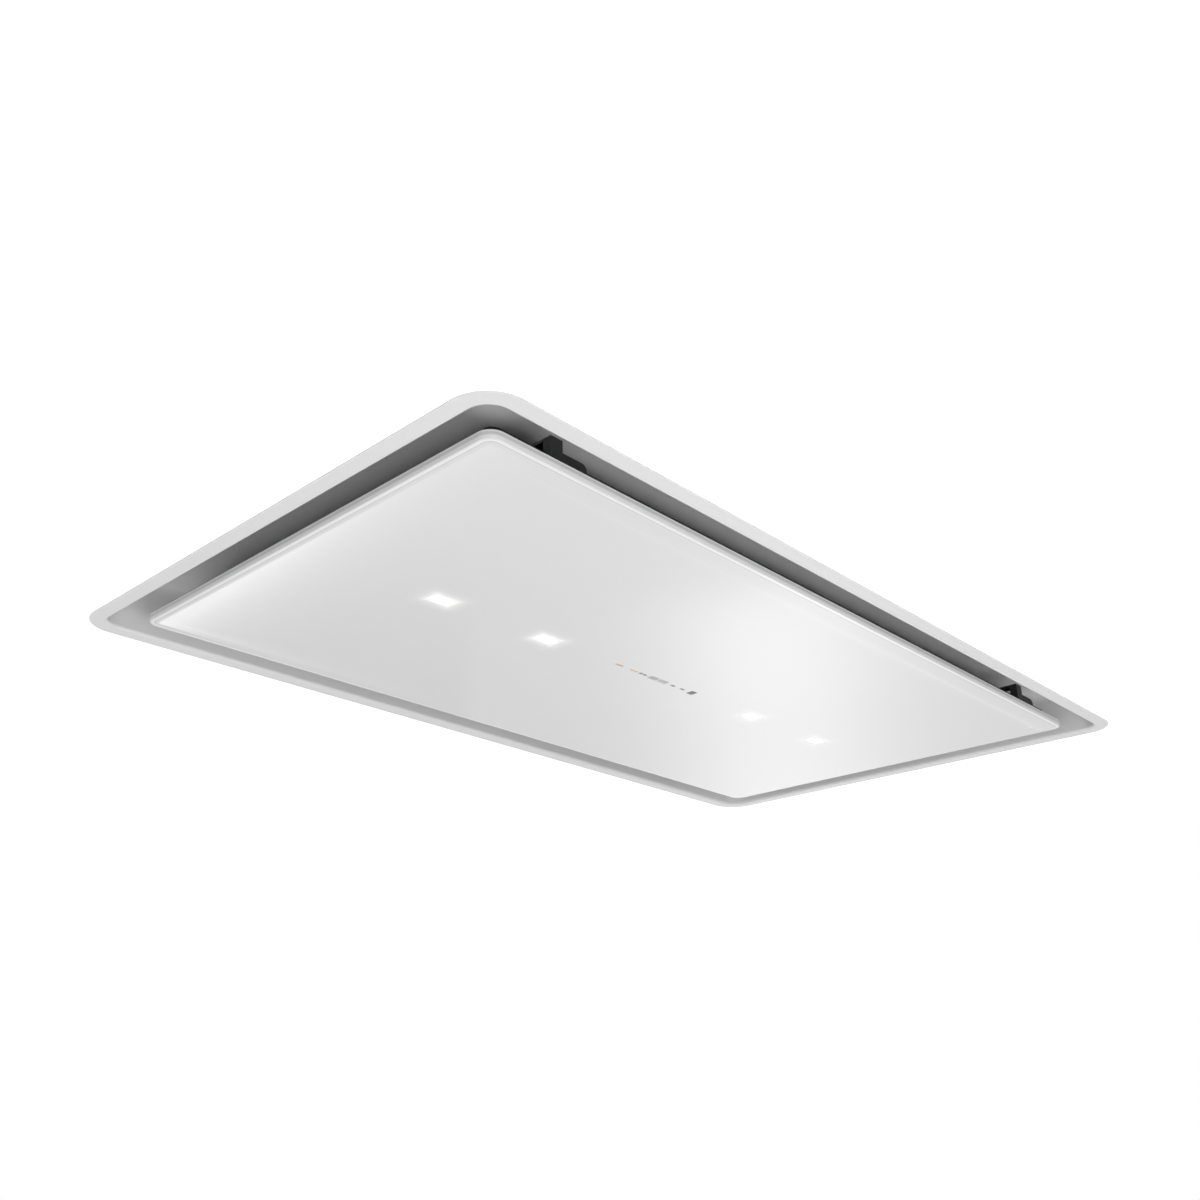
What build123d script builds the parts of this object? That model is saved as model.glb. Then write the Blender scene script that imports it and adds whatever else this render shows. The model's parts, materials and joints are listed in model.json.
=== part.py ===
from build123d import *
from math import acos, cos, pi, radians, sin, sqrt
import os

# Flush ceiling range hood: a white glass panel hangs in the recess of a painted tray, and air is
# drawn in through the gap around it, up through two grease filters and out by a centrifugal blower.
# X runs along the hood, Y across it and Z up. The origin is the centre of the ceiling cut-out, on
# the room face of the ceiling, where the upper face of the tray's flange rests.

# ---------------------------------------------------------------- driving dimensions (mm)
hood_length = 900.0
hood_width = 500.0
hood_height = 299.0
running_clearance = 0.05      # radial, pins and shafts that turn
free_clearance = 0.3          # between pieces that move past each other
fit_clearance = 0.2           # between pieces of one body that slip together
cut = 1.0                     # how far a cutting shape passes the face it opens

# Tray: flange, recess wall and deck are one painted steel pressing.
tray_sheet = 1.5
flange_corner = 30.0
flange_land = 11.5            # flat band of the flange
flange_bend = 3.0             # outside radius from flange to wall
recess_depth = 50.0           # flange's lower face to the deck's lower face
deck_bend = 10.0              # inside radius from wall to deck

# Glass panel and its steel carrier.
panel_gap = 25.5              # suction gap between recess wall and glass
glass_thickness = 6.0
glass_corner = 11.5
glass_bevel_width = 3.0
glass_bevel_height = 0.8
carrier_sheet = 1.2
carrier_inset = 12.0
carrier_rim = 11.5            # height of the folded rim above the glass
carrier_corner = 8.0
rib_width = 16.0              # two stiffening ribs pressed into the carrier's floor
rib_height = 5.0
rib_end_gap = 60.0            # rib's end to the carrier's edge

# Lamps: four rectangular lenses set flush in the glass.
lamp_places = (-266.0, -148.0, 148.0, 266.0)
lens_length = 24.0
lens_width = 15.0
lens_corner = 3.0
lens_flange = 4.0
lens_flange_thickness = 1.5
led_board_thickness = 1.6
led_board_margin = 4.0        # board past the lens at each end
led_gap = 1.0                 # lens to board
led_chip = 3.5
led_chip_height = 0.8
led_chip_pitch = 10.0
lamp_box_height = 14.0
lamp_box_wall = 1.5
lamp_box_margin = 3.0         # cover past the lens flange
lamp_slot_count = 5           # slots between the cooling fins
lamp_slot_pitch = 7.0
lamp_slot_width = 4.0
lamp_slot_depth = 5.0

# Touch controls behind the glass.
touch_length = 146.0
touch_width = 22.0
touch_board_thickness = 1.6
touch_cover_height = 9.0
touch_cover_wall = 1.5
touch_cover_margin = 6.0
touch_cover_corner = 4.0
touch_cover_edge = 2.0
touch_chip = (-30.0, 12.0, 12.0, 1.6)      # x, length, width, height
touch_connector = (50.0, 16.0, 6.0, 4.0)

# Hinges on the far long side, catches on the near one.
fitting_spacing = 670.0       # between the two hinges, and between the two catches
hinge_inset = 14.0            # pin axis inside the edge of the glass
hinge_rise = 26.5             # pin axis above the lower face of the glass
hinge_pin_radius = 3.0
hinge_pin_head = 5.0
hinge_pin_head_thickness = 2.0
hinge_pin_tail = 2.0          # pin past the outer cheek
barrel_radius = 6.0
barrel_length = 20.0
cheek_thickness = 2.0
cheek_half_width = 7.0
cheek_back = 17.0             # cheek's foot behind and in front of the pin axis
cheek_front = 11.0
hinge_base_margin = 4.0
arm_sheet = 2.0
arm_reach = 42.0
arm_rim_gap = 2.0
arm_foot_margin = 8.0
arm_foot_length = 34.0
arm_foot_corner = 3.0
catch_sheet = 2.0
catch_inset = 5.0             # face of the catch bracket inside the edge of the glass
catch_length = 34.0
catch_step_rise = 17.3        # above the lower face of the glass
catch_post_rise = 26.5
catch_post_length = 11.0
catch_step_corner = 5.0
armature_size = 24.0
armature_corner = 3.0
magnet_setback = 60.0         # magnet axis behind the face of the catch bracket
magnet_radius = 9.0
magnet_thickness = 6.0
magnet_box_size = 26.0
magnet_box_corner = 4.0
magnet_box_edge = 1.0

# Grease filters.
filter_length = 296.0
filter_width = 292.0
filter_thickness = 9.0
filter_bridge = 14.0          # deck between the two filters
filter_drop = 1.5             # below the deck's lower face
filter_gap = 1.5              # around a filter in its aperture
filter_bar = 14.0
filter_skin = 1.2
filter_corner = 3.0
mesh_thickness = 4.0
mesh_groove = 3.0
mesh_columns = 10
mesh_rows = 9
mesh_web = 9.0
aperture_corner = 4.0
tab_length = 30.0
tab_reach = 8.0
tab_thickness = 1.5
tab_root = 4.0                # tab's foot on the frame
tab_offset = 98.0             # tabs from the filter's middle
latch_length = 38.0
latch_plate_width = 16.0
latch_plate_thickness = 2.5
latch_tongue_length = 24.0
latch_tongue_reach = 7.0      # over the deck when shut
latch_travel = 8.0
latch_floor = 1.5
latch_pull_length = 20.0
latch_pull_width = 5.0
latch_pull_drop = 4.0
latch_pull_corner = 1.5
latch_spring_room = 5.0
leaf_thickness = 0.5
leaf_gap = 0.1                # leaf to the latch's back
leaf_inset = 3.0              # leaf's ends inside the ends of the latch

# Casing.
casing_length = 760.0
casing_width = 446.0
casing_sheet = 1.0
casing_bend = 3.0
end_flange = 12.0
rail_width = 15.0             # angle rails along the casing's foot
rail_height = 8.0
rail_sheet = 1.2
bead_length = 600.0
bead_width = 14.0
bead_height = 2.0
bead_count = 3
bead_pitch = 130.0
seam_screw_rise = 30.0        # lowest seam screw above the deck
seam_screw_pitch = 80.0
top_screw_inset = 20.0

# Suspension by four threaded rods.
rod_spacing = 700.0
rod_offset = 10.0             # rod axis outside the casing
rod_hole_radius = 4.5
hanger_sheet = 2.5
hanger_length = 44.0
hanger_height = 40.0
hanger_reach = 19.0
hanger_top_drop = 22.0        # ear below the top of the casing
gusset_inset = 2.0            # gusset inside the ear's edge
gusset_rise = 6.0             # gusset's foot above the leg's lower edge

# Blower: double-inlet scroll on an upright axis.
blower_x = -70.0
blower_y = -70.0
scroll_height = 122.0
scroll_gap = 24.0             # casing top to scroll
scroll_sheet = 1.2
scroll_start_radius = 98.0
scroll_growth = 14.0          # radius added in each quarter turn
scroll_outlet_width = 95.0
scroll_mouth = 125.0          # blower axis to the outlet's mouth
scroll_flange = 7.0
mount_arm_radius = 138.0
mount_arm_width = 22.0
mount_arm_corner = 10.5
rubber_radius = 9.0
rubber_waist = 6.3
rubber_rim = 2.0
rubber_flare = 5.0
mount_angles = (35.0, 125.0, 215.0, 305.0)

impeller_radius = 90.0
impeller_inner_radius = 72.0
impeller_height = 100.0
impeller_ring = 3.0
impeller_ring_margin = 0.5    # ring past the blades, inside and outside
impeller_disc = 2.0
impeller_disc_inset = 2.0     # disc's edge inside the blades' outer ends
blade_count = 36
blade_thickness = 1.1
blade_sweep = 9.0             # how far a blade leads its root, in degrees about the axis

throat_radius = 69.0
throat_gap = 1.5
throat_steps = 6              # flats along the bellmouth's quarter curve
inlet_hole_radius = 92.0
inlet_flange_radius = 102.0
inlet_land = 4.0              # flat of the ring inside the hole's edge
inlet_sheet = 1.2

guard_wire = 2.5
guard_rim = 7.5
guard_rings = (22.0, 44.0, 66.0)
guard_spokes = 6

rotor_radius = 44.0
rotor_wall = 3.0
rotor_height = 62.0
rotor_flange_radius = 56.0
rotor_flange_thickness = 3.0
rotor_drop = 4.0              # bell's middle below the wheel's middle
hub_radius = 9.0
hub_height = 5.0
shaft_radius = 4.0
shaft_chamfer = 0.7
bearing_radius = 11.0
bearing_width = 7.0
bearing_tube_radius = 13.5
bearing_inset = 1.0           # bearing inside the end of its tube
stator_radius = 39.0
stator_height = 32.0
stator_slots = 12
slot_width = 3.0
winding_height = 9.0
winding_gap = 3.0             # winding to the bell's floor
winding_inset = 5.0           # winding inside the core's outer face
winding_core_gap = 4.0        # winding to the bearing tube
winding_round = 3.0
slot_depth = 15.3
motor_flange_radius = 30.0
motor_flange_thickness = 4.0
spider_radius = 34.0
spider_arm_width = 14.0
spider_arm_overlap = 3.0
spider_ring_width = 12.0
spider_sheet = 2.5
spider_bore = 7.0
spider_boss_radius = 27.0

# Outlet: rectangle to round duct, then a spigot with two backdraught flaps.
duct_radius = 75.0
spigot_wall = 1.5
spigot_length = 54.0
spigot_flange = 10.0
duct_sheet = 1.2
flap_axis_offset = 10.0       # pin axis outside the casing's end
flap_pin_radius = 2.0
flap_knuckle_radius = 4.0
flap_thickness = 1.5
flap_rim_gap = 1.5
flap_knuckle_length = 18.0
flap_knuckle_pitch = 22.0
flap_root_gap = 5.5           # flap's straight edge from the pin axis

# Control box and what it holds.
box_length = 110.0
box_width = 240.0
box_height = 62.0
box_sheet = 1.0
box_end_gap = 14.0            # from the casing's end plate
lid_depth = 10.0              # lid's rim up the box's side
box_corner = 2.0
board_length = 90.0
board_width = 120.0
board_y = -50.0
board_thickness = 1.6
board_standoff = 8.0
board_post_radius = 3.0
board_post_inset = 6.5        # post axis inside the board's edges
relay_length = 28.0
relay_pitch = 26.0
relay_sizes = ((16.0, 14.0), (16.0, 14.0), (22.0, 20.0), (12.0, 10.0))    # width, height
sink_length = 24.0
sink_base = 4.0
sink_height = 24.0
sink_fin = 2.0
sink_fin_pitch = 7.0
sink_fin_count = 5
driver_x = -10.0              # from the middle of the box
driver_y = 58.0
driver_length = 62.0
driver_width = 44.0
driver_height = 24.0
driver_corner = 3.0
driver_ear_length = 30.0
driver_ear_reach = 7.0
driver_ear_thickness = 2.0
capacitor_x = -6.0
capacitor_y = 100.0
capacitor_radius = 15.0
capacitor_length = 68.0
capacitor_drop = 18.0         # axis below the box's roof
capacitor_cap_radius = 6.0
capacitor_cap_length = 6.0
capacitor_round = 2.0
clip_length = 10.0
clip_width = 26.0
terminal_x = 40.0
terminal_y = 34.0
terminal_length = 38.0
terminal_width = 16.0
terminal_height = 16.0
terminal_poles = 3
terminal_pitch = 12.0
terminal_screw_radius = 2.6
terminal_screw_depth = 8.0
terminal_mouth_width = 6.0
terminal_mouth_height = 5.0
terminal_mouth_drop = 7.0     # middle of the wire mouth's lower edge below the roof
gland_radius = 9.0
gland_length = 14.0
gland_collar = 6.0
gland_collar_margin = 4.0
gland_cap_margin = 1.0
gland_cap_round = 2.0
gland_entry_gap = 3.0
gland_bore = 4.0
gland_y = -60.0

screw_head_radius = 3.6
screw_head_height = 2.0

# ---------------------------------------------------------------- derived places
z_face = -tray_sheet                             # lower face of flange and glass
z_top = z_face + hood_height                     # top of the beads on the casing
z_deck = z_face + recess_depth                   # lower face of the deck
z_deck_top = z_deck + tray_sheet
recess_length = hood_length - 2 * (flange_land + flange_bend)
recess_width = hood_width - 2 * (flange_land + flange_bend)
recess_corner = flange_corner - flange_land - flange_bend
panel_length = recess_length - 2 * panel_gap
panel_width = recess_width - 2 * panel_gap
z_glass_top = z_face + glass_thickness
z_carrier = z_glass_top + carrier_sheet          # upper face of the carrier's floor
z_rim = z_glass_top + carrier_rim
z_led_board = z_glass_top + lens_flange_thickness + led_gap
carrier_length = panel_length - 2 * carrier_inset
carrier_width = panel_width - 2 * carrier_inset

hinge_y = panel_width / 2 - hinge_inset
hinge_z = z_face + hinge_rise
fitting_places = (-fitting_spacing / 2, fitting_spacing / 2)
catch_y = -panel_width / 2 + catch_inset
post_shift = (catch_post_length - catch_length) / 2      # post's middle from the bracket's
magnet_y = catch_y + magnet_setback
z_armature = z_face + catch_post_rise + free_clearance

filter_shift = (filter_length + filter_bridge) / 2
filter_places = (-filter_shift, filter_shift)
z_filter = z_deck - filter_drop
z_filter_top = z_filter + filter_thickness
aperture_length = filter_length + 2 * filter_gap
aperture_width = filter_width + 2 * filter_gap
z_mesh = z_filter + (filter_thickness - mesh_thickness) / 2
latch_front = -filter_width / 2
pocket_width = latch_plate_width + latch_travel + latch_spring_room
latch_pad_width = pocket_width + 2 * filter_skin
latch_y = latch_front + filter_skin + free_clearance + latch_plate_width / 2
latch_pad_length = latch_length + 2 * (free_clearance + filter_skin)
z_latch = max(z_deck_top + free_clearance, z_filter + latch_floor + free_clearance)
z_pocket = z_latch - free_clearance

z_casing_top = z_top - bead_height               # flat of the casing's top
z_ear = z_casing_top - hanger_top_drop
casing_x = casing_length / 2
blower_z = z_casing_top - casing_sheet - scroll_gap - scroll_height / 2
z_scroll = blower_z - scroll_height / 2
z_scroll_top = blower_z + scroll_height / 2
scroll_end_radius = scroll_start_radius + 3.5 * scroll_growth
outlet_inner_y = blower_y + scroll_end_radius - scroll_outlet_width
outlet_outer_y = blower_y + scroll_end_radius
outlet_y = (outlet_inner_y + outlet_outer_y) / 2
mouth_x = blower_x + scroll_mouth
z_rotor = blower_z - rotor_height / 2 - rotor_drop
z_stator = z_rotor + rotor_wall + winding_gap + winding_height
z_tube_low = z_rotor + rotor_wall + hub_height
flap_x = casing_x + flap_axis_offset
flap_radius = duct_radius - spigot_wall - flap_rim_gap
box_x = -casing_x + box_end_gap + box_length / 2
z_box = z_casing_top - casing_sheet - box_height
z_box_roof = z_box + box_height - box_sheet
gland_z = z_box + box_height / 2

os.makedirs("parts", exist_ok=True)


# ---------------------------------------------------------------- helpers
def slab(length, width, z_low, z_high, corner=0.0, x=0.0, y=0.0):
    """Upright block between two heights, with rounded upright edges."""
    outline = RectangleRounded(length, width, corner) if corner else Rectangle(length, width)
    return Pos(x, y, z_low) * extrude(outline, amount=z_high - z_low)


def post(radius, z_low, z_high, x=0.0, y=0.0):
    """Upright cylinder between two heights."""
    return Pos(x, y, z_low) * extrude(Circle(radius), amount=z_high - z_low)


def sleeve(outer, inner, z_low, z_high, x=0.0, y=0.0):
    """Upright tube between two heights."""
    return post(outer, z_low, z_high, x, y) - post(inner, z_low - cut, z_high + cut, x, y)


def along_x(outline, x_low, x_high):
    """Extrude an outline drawn in Y and Z between two places on X."""
    return extrude(Plane.YZ.offset(x_low) * outline, amount=x_high - x_low)


def rod_x(radius, x_low, x_high, y, z):
    """Cylinder along X."""
    return along_x(Pos(y, z) * Circle(radius), x_low, x_high)


def outline_of(points):
    """Face inside a closed run of straight edges."""
    return make_face(Polyline(*points, close=True))


def turned(points, x=0.0, y=0.0):
    """Ring turned about an upright axis from an outline of radius and height."""
    face = make_face(Plane.XZ * Polyline(*points, close=True))
    return Pos(x, y, 0) * revolve(face, Axis.Z)


def hex_screw(x, y, z, towards=(0, 0, 1)):
    """Head of a sheet-metal screw that sits on a face."""
    head = extrude(RegularPolygon(screw_head_radius, 6), amount=screw_head_height)
    return Plane(origin=(x, y, z), z_dir=towards) * head


def write(shape, name):
    """Write one sub-part to its file."""
    export_step(shape, f"parts/{name}.step")


# ---------------------------------------------------------------- tray
def frame_tray():
    """Flange, recess wall and deck, with two filter apertures."""
    flange = slab(hood_length, hood_width, z_face, 0.0, flange_corner)
    outside = slab(recess_length + 2 * tray_sheet, recess_width + 2 * tray_sheet,
                   z_face, z_deck_top, recess_corner + tray_sheet)
    outside = fillet(outside.edges().group_by(Axis.Z)[-1], deck_bend + tray_sheet)
    tray = flange + outside
    root = tray.faces().filter_by(Axis.Z).sort_by(Axis.Z)[1].inner_wires()[0].edges()
    tray = fillet(root, flange_bend - tray_sheet)

    # the hollow flares at its mouth, which turns the flange into the wall
    room = slab(hood_length - flange_land, hood_width - flange_land, z_face - cut, z_face,
                flange_corner)
    hollow = slab(recess_length, recess_width, z_face - cut, z_deck, recess_corner)
    hollow = fillet(hollow.edges().group_by(Axis.Z)[-1], deck_bend)
    hollow += room
    mouth = hollow.faces().filter_by(Axis.Z).sort_by(Axis.Z)[1].inner_wires()[0].edges()
    hollow = fillet(mouth, flange_bend)
    tray -= hollow
    for x in filter_places:
        tray -= slab(aperture_length, aperture_width, z_deck - cut, z_deck_top + cut,
                     aperture_corner, x)
    return tray


# ---------------------------------------------------------------- casing
def hood_section(width, z_high, corner):
    """Rectangle in Y and Z that stands on the deck, with its upper corners rounded."""
    height = z_high - z_deck_top
    section = Pos(0, z_deck_top + height / 2) * Rectangle(width, height)
    return fillet(section.vertices().group_by(Axis.Y)[-1], corner)


def casing_wrap():
    """Top and long sides of the casing, bent from one sheet, with stiffening beads."""
    outer = hood_section(casing_width, z_casing_top, casing_bend)
    inner = hood_section(casing_width - 2 * casing_sheet, z_casing_top - casing_sheet,
                         casing_bend - casing_sheet)
    wrap = along_x(outer - inner, -casing_x, casing_x)
    for index in range(bead_count):
        y = (index - (bead_count - 1) / 2) * bead_pitch
        raised = SlotOverall(bead_length, bead_width)
        hollow = SlotOverall(bead_length - 2 * casing_sheet, bead_width - 2 * casing_sheet)
        wrap += Pos(0, y, z_casing_top) * extrude(raised, amount=bead_height)
        wrap -= Pos(0, y, z_casing_top - 2 * casing_sheet) * extrude(
            hollow, amount=casing_sheet + bead_height)
    return wrap


def casing_rail(side):
    """Angle rail inside one long side, which joins the casing to the deck."""
    half = casing_x - end_flange - fit_clearance
    face = side * (casing_width / 2 - casing_sheet)
    angle = outline_of([
        (face, z_deck_top), (face - side * rail_width, z_deck_top),
        (face - side * rail_width, z_deck_top + rail_sheet),
        (face - side * rail_sheet, z_deck_top + rail_sheet),
        (face - side * rail_sheet, z_deck_top + rail_height), (face, z_deck_top + rail_height)])
    return along_x(angle, -half, half)


def end_plate(side):
    """Flanged plate that closes one end of the casing."""
    inset = casing_sheet + fit_clearance
    height = z_casing_top - z_deck_top - 2 * inset
    middle = (z_casing_top + z_deck_top) / 2
    corner = casing_bend - casing_sheet
    outer = Pos(0, middle) * RectangleRounded(casing_width - 2 * inset, height, corner)
    inner = Pos(0, middle) * RectangleRounded(
        casing_width - 2 * (inset + casing_sheet), height - 2 * casing_sheet, corner)
    if side > 0:
        plate = along_x(outer, casing_x - end_flange, casing_x)
        plate -= along_x(inner, casing_x - end_flange - cut, casing_x - casing_sheet)
        plate -= rod_x(duct_radius - spigot_wall, casing_x - casing_sheet - cut, casing_x + cut,
                       outlet_y, blower_z)
    else:
        plate = along_x(outer, -casing_x, -casing_x + end_flange)
        plate -= along_x(inner, -casing_x + casing_sheet, -casing_x + end_flange + cut)
        plate -= rod_x(gland_radius + fit_clearance, -casing_x - cut, -casing_x + casing_sheet + cut,
                       gland_y, gland_z)
    return plate


def suspension_brackets():
    """Four angle brackets on the long sides, each with a hole for a threaded rod."""
    z_foot = z_ear - hanger_height
    brackets = []
    for x in (-rod_spacing / 2, rod_spacing / 2):
        for side in (-1, 1):
            face = side * casing_width / 2
            leg = slab(hanger_length, hanger_sheet, z_foot, z_ear, 0, x,
                       face + side * hanger_sheet / 2)
            ear = slab(hanger_length, hanger_reach, z_ear - hanger_sheet, z_ear, 0, x,
                       face + side * hanger_reach / 2)
            gusset_shape = outline_of([
                (face, z_ear), (face + side * (hanger_reach - gusset_inset), z_ear),
                (face + side * hanger_sheet, z_foot + gusset_rise), (face, z_foot + gusset_rise)])
            bracket = leg + ear
            for end in (-1, 1):
                start = x + end * (hanger_length - hanger_sheet) / 2 - hanger_sheet / 2
                bracket += along_x(gusset_shape, start, start + hanger_sheet)
            bracket -= post(rod_hole_radius, z_ear - hanger_sheet - cut, z_ear + cut, x,
                            face + side * rod_offset)
            brackets.append(bracket)
    return Compound(children=brackets)


def casing_screws():
    """Screws along the casing's seams and round the spigot."""
    screws = []
    for side in (-1, 1):
        for x in (-casing_x + end_flange / 2, casing_x - end_flange / 2):
            for step in range(2):
                z = z_deck_top + seam_screw_rise + step * seam_screw_pitch
                screws.append(hex_screw(x, side * casing_width / 2, z, (0, side, 0)))
            screws.append(hex_screw(x, side * (casing_width / 2 - top_screw_inset), z_casing_top))
    for angle in (45, 135, 225, 315):
        reach = duct_radius + spigot_flange / 2
        y = outlet_y + reach * cos(radians(angle))
        z = blower_z + reach * sin(radians(angle))
        screws.append(hex_screw(casing_x + duct_sheet, y, z, (1, 0, 0)))
    return Compound(children=screws)


# ---------------------------------------------------------------- blower
def volute(x=0.0, y=0.0):
    """Inner outline of the scroll: four quarter arcs and a straight outlet."""
    half = scroll_growth / 2
    radii = [scroll_start_radius + step * scroll_growth for step in range(4)]
    tongue_y = scroll_end_radius - scroll_outlet_width
    tongue_x = half + sqrt(radii[0] ** 2 - (tongue_y + half) ** 2)
    first_mid = acos((tongue_x - half) / radii[0]) / 2
    right = (half + radii[0], -half)
    bottom = (-half, -half - radii[1])
    left = (-half - radii[2], half)
    top = (half, half + radii[3])
    slant = sqrt(0.5)
    edges = [
        ThreePointArc((tongue_x, tongue_y),
                      (half + radii[0] * cos(first_mid), -half + radii[0] * sin(first_mid)), right),
        ThreePointArc(right, (-half + radii[1] * slant, -half - radii[1] * slant), bottom),
        ThreePointArc(bottom, (-half - radii[2] * slant, half - radii[2] * slant), left),
        ThreePointArc(left, (half - radii[3] * slant, half + radii[3] * slant), top),
        Line(top, (scroll_mouth, scroll_end_radius)),
        Line((scroll_mouth, scroll_end_radius), (scroll_mouth, tongue_y)),
        Line((scroll_mouth, tongue_y), (tongue_x, tongue_y)),
    ]
    return Pos(x, y) * make_face(edges)


def scroll_half(upper):
    """One half of the scroll, a plate with its wall and the joint flange at mid height."""
    inner = volute(blower_x, blower_y)
    outer = offset(inner, amount=scroll_sheet)
    rim = offset(inner, amount=scroll_sheet + scroll_flange)
    side = 1 if upper else -1
    half = scroll_height / 2
    body = Pos(0, 0, blower_z) * (
        extrude(outer, amount=side * half) + extrude(rim, amount=side * scroll_sheet)
        - extrude(inner, amount=side * (half - scroll_sheet)))
    past_mouth = 2 * (scroll_sheet + scroll_flange)
    body -= slab(past_mouth, scroll_outlet_width + 2 * past_mouth, z_scroll - cut,
                 z_scroll_top + cut, 0, mouth_x + past_mouth / 2, outlet_y)
    if upper:
        for angle in mount_angles:
            body += mount_arm(angle)
    body -= post(inlet_hole_radius, z_scroll - cut, z_scroll_top + cut, blower_x, blower_y)
    return body


def mount_place(angle):
    """Centre of a rubber mount round the blower's axis."""
    reach = mount_arm_radius
    return blower_x + reach * cos(radians(angle)), blower_y + reach * sin(radians(angle))


def mount_arm(angle):
    """Flat arm that joins the scroll's upper plate to a rubber mount."""
    start = inlet_hole_radius + scroll_sheet
    length = mount_arm_radius - start + mount_arm_width / 2
    arm = Pos(start + length / 2, 0, 0) * extrude(
        RectangleRounded(length, mount_arm_width, mount_arm_corner), amount=scroll_sheet)
    return Pos(blower_x, blower_y, z_scroll_top - scroll_sheet) * Rot(0, 0, angle) * arm


def rubber_mounts():
    """Bobbins that carry the scroll from the casing's top."""
    z_high = z_casing_top - casing_sheet
    mounts = []
    for angle in mount_angles:
        x, y = mount_place(angle)
        mounts.append(turned([
            (0, z_scroll_top), (rubber_radius, z_scroll_top),
            (rubber_radius, z_scroll_top + rubber_rim), (rubber_waist, z_scroll_top + rubber_flare),
            (rubber_waist, z_high - rubber_flare), (rubber_radius, z_high - rubber_rim),
            (rubber_radius, z_high), (0, z_high)], x, y))
    return Compound(children=mounts)


def inlet_ring(upper):
    """Bellmouth that leads air from outside the scroll into the impeller."""
    direction = -1 if upper else 1
    z_plate = z_scroll_top if upper else z_scroll
    depth = (scroll_height - impeller_height) / 2 - throat_gap
    mouth_radius = inlet_hole_radius - inlet_land
    curve = []
    for index in range(throat_steps + 1):
        turn = radians(90.0 * index / throat_steps)
        curve.append((throat_radius + (mouth_radius - throat_radius) * (1 - sin(turn)),
                      depth * (1 - cos(turn))))
    curve.reverse()
    # the curve runs from the throat, deep in the scroll, out to the flange
    flow = [(r, z - inlet_sheet) for r, z in curve] + [(inlet_flange_radius, -inlet_sheet)]
    back = [(inlet_flange_radius, 0.0), (mouth_radius + inlet_sheet, 0.0)]
    back += [(r + inlet_sheet, z) for r, z in reversed(curve[:-1])]
    points = [(r, z_plate + direction * z) for r, z in flow + back]
    return turned(points, blower_x, blower_y)


def inlet_guard():
    """Finger guard of rings and spokes under the lower inlet."""
    z_high = z_scroll - inlet_sheet
    z_low = z_high - guard_wire
    guard = sleeve(inlet_flange_radius, inlet_flange_radius - guard_rim, z_low, z_high)
    for radius in guard_rings:
        guard += sleeve(radius + guard_wire / 2, radius - guard_wire / 2, z_low, z_high)
    for index in range(guard_spokes):
        length = inlet_flange_radius - guard_wire - guard_rings[0]
        spoke = slab(length, guard_wire, z_low, z_high, 0, guard_rings[0] + length / 2, 0)
        guard += Rot(0, 0, index * 360.0 / guard_spokes) * spoke
    return Pos(blower_x, blower_y, 0) * guard


def blade_outline():
    """Section of one forward-curved blade, from the inner to the outer radius."""
    def at(radius, angle):
        return (radius * cos(radians(angle)), radius * sin(radians(angle)))

    middle = (impeller_radius + impeller_inner_radius) / 2
    half_turn = degrees_of(blade_thickness / 2, middle)
    lead = blade_sweep / 4
    front = ThreePointArc(at(impeller_inner_radius, half_turn), at(middle, half_turn + lead),
                          at(impeller_radius, half_turn - blade_sweep / 2))
    rear = ThreePointArc(at(impeller_radius, -half_turn - blade_sweep / 2),
                         at(middle, lead - half_turn), at(impeller_inner_radius, -half_turn))
    tip = Line(at(impeller_radius, half_turn - blade_sweep / 2),
               at(impeller_radius, -half_turn - blade_sweep / 2))
    root = Line(at(impeller_inner_radius, -half_turn), at(impeller_inner_radius, half_turn))
    return make_face([front, tip, rear, root])


def degrees_of(arc, radius):
    """Angle, in degrees, of an arc length at a radius."""
    return arc / radius * 180.0 / pi


def impeller():
    """Double-inlet wheel: forward-curved blades between two rings and on a middle disc."""
    z_low = blower_z - impeller_height / 2
    z_high = blower_z + impeller_height / 2
    ring_outer = impeller_radius + impeller_ring_margin
    ring_inner = impeller_inner_radius - impeller_ring_margin
    wheel = sleeve(ring_outer, ring_inner, z_low, z_low + impeller_ring)
    wheel += sleeve(ring_outer, ring_inner, z_high - impeller_ring, z_high)
    wheel += sleeve(impeller_radius - impeller_disc_inset, rotor_radius + fit_clearance,
                    blower_z - impeller_disc / 2, blower_z + impeller_disc / 2)
    blade = Pos(0, 0, z_low + impeller_ring / 2) * extrude(
        blade_outline(), amount=impeller_height - impeller_ring)
    turn = 360.0 / blade_count
    wheel += [Rot(0, 0, index * turn) * blade for index in range(blade_count)]
    return Pos(blower_x, blower_y, 0) * wheel


def motor_rotor():
    """Outer rotor: a bell around the stator, with the flange that carries the wheel."""
    z_floor = z_rotor + rotor_wall
    z_rim = z_rotor + rotor_height
    bell = post(rotor_radius, z_rotor, z_rim)
    bell -= post(rotor_radius - rotor_wall, z_floor, z_rim + cut)
    z_flange = blower_z + impeller_disc / 2
    bell += sleeve(rotor_flange_radius, rotor_radius - rotor_wall / 2, z_flange,
                   z_flange + rotor_flange_thickness)
    bell += post(hub_radius, z_floor - cut, z_floor + hub_height - free_clearance)
    bell -= post(shaft_radius, z_rotor - cut, z_floor + hub_height + cut)
    return Pos(blower_x, blower_y, 0) * bell


def motor_shaft():
    """Shaft pressed into the bell and turning in the two bearings."""
    shaft = post(shaft_radius, z_rotor, z_scroll_top, blower_x, blower_y)
    return chamfer(shaft.edges().group_by(Axis.Z)[-1], shaft_chamfer)


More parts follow.
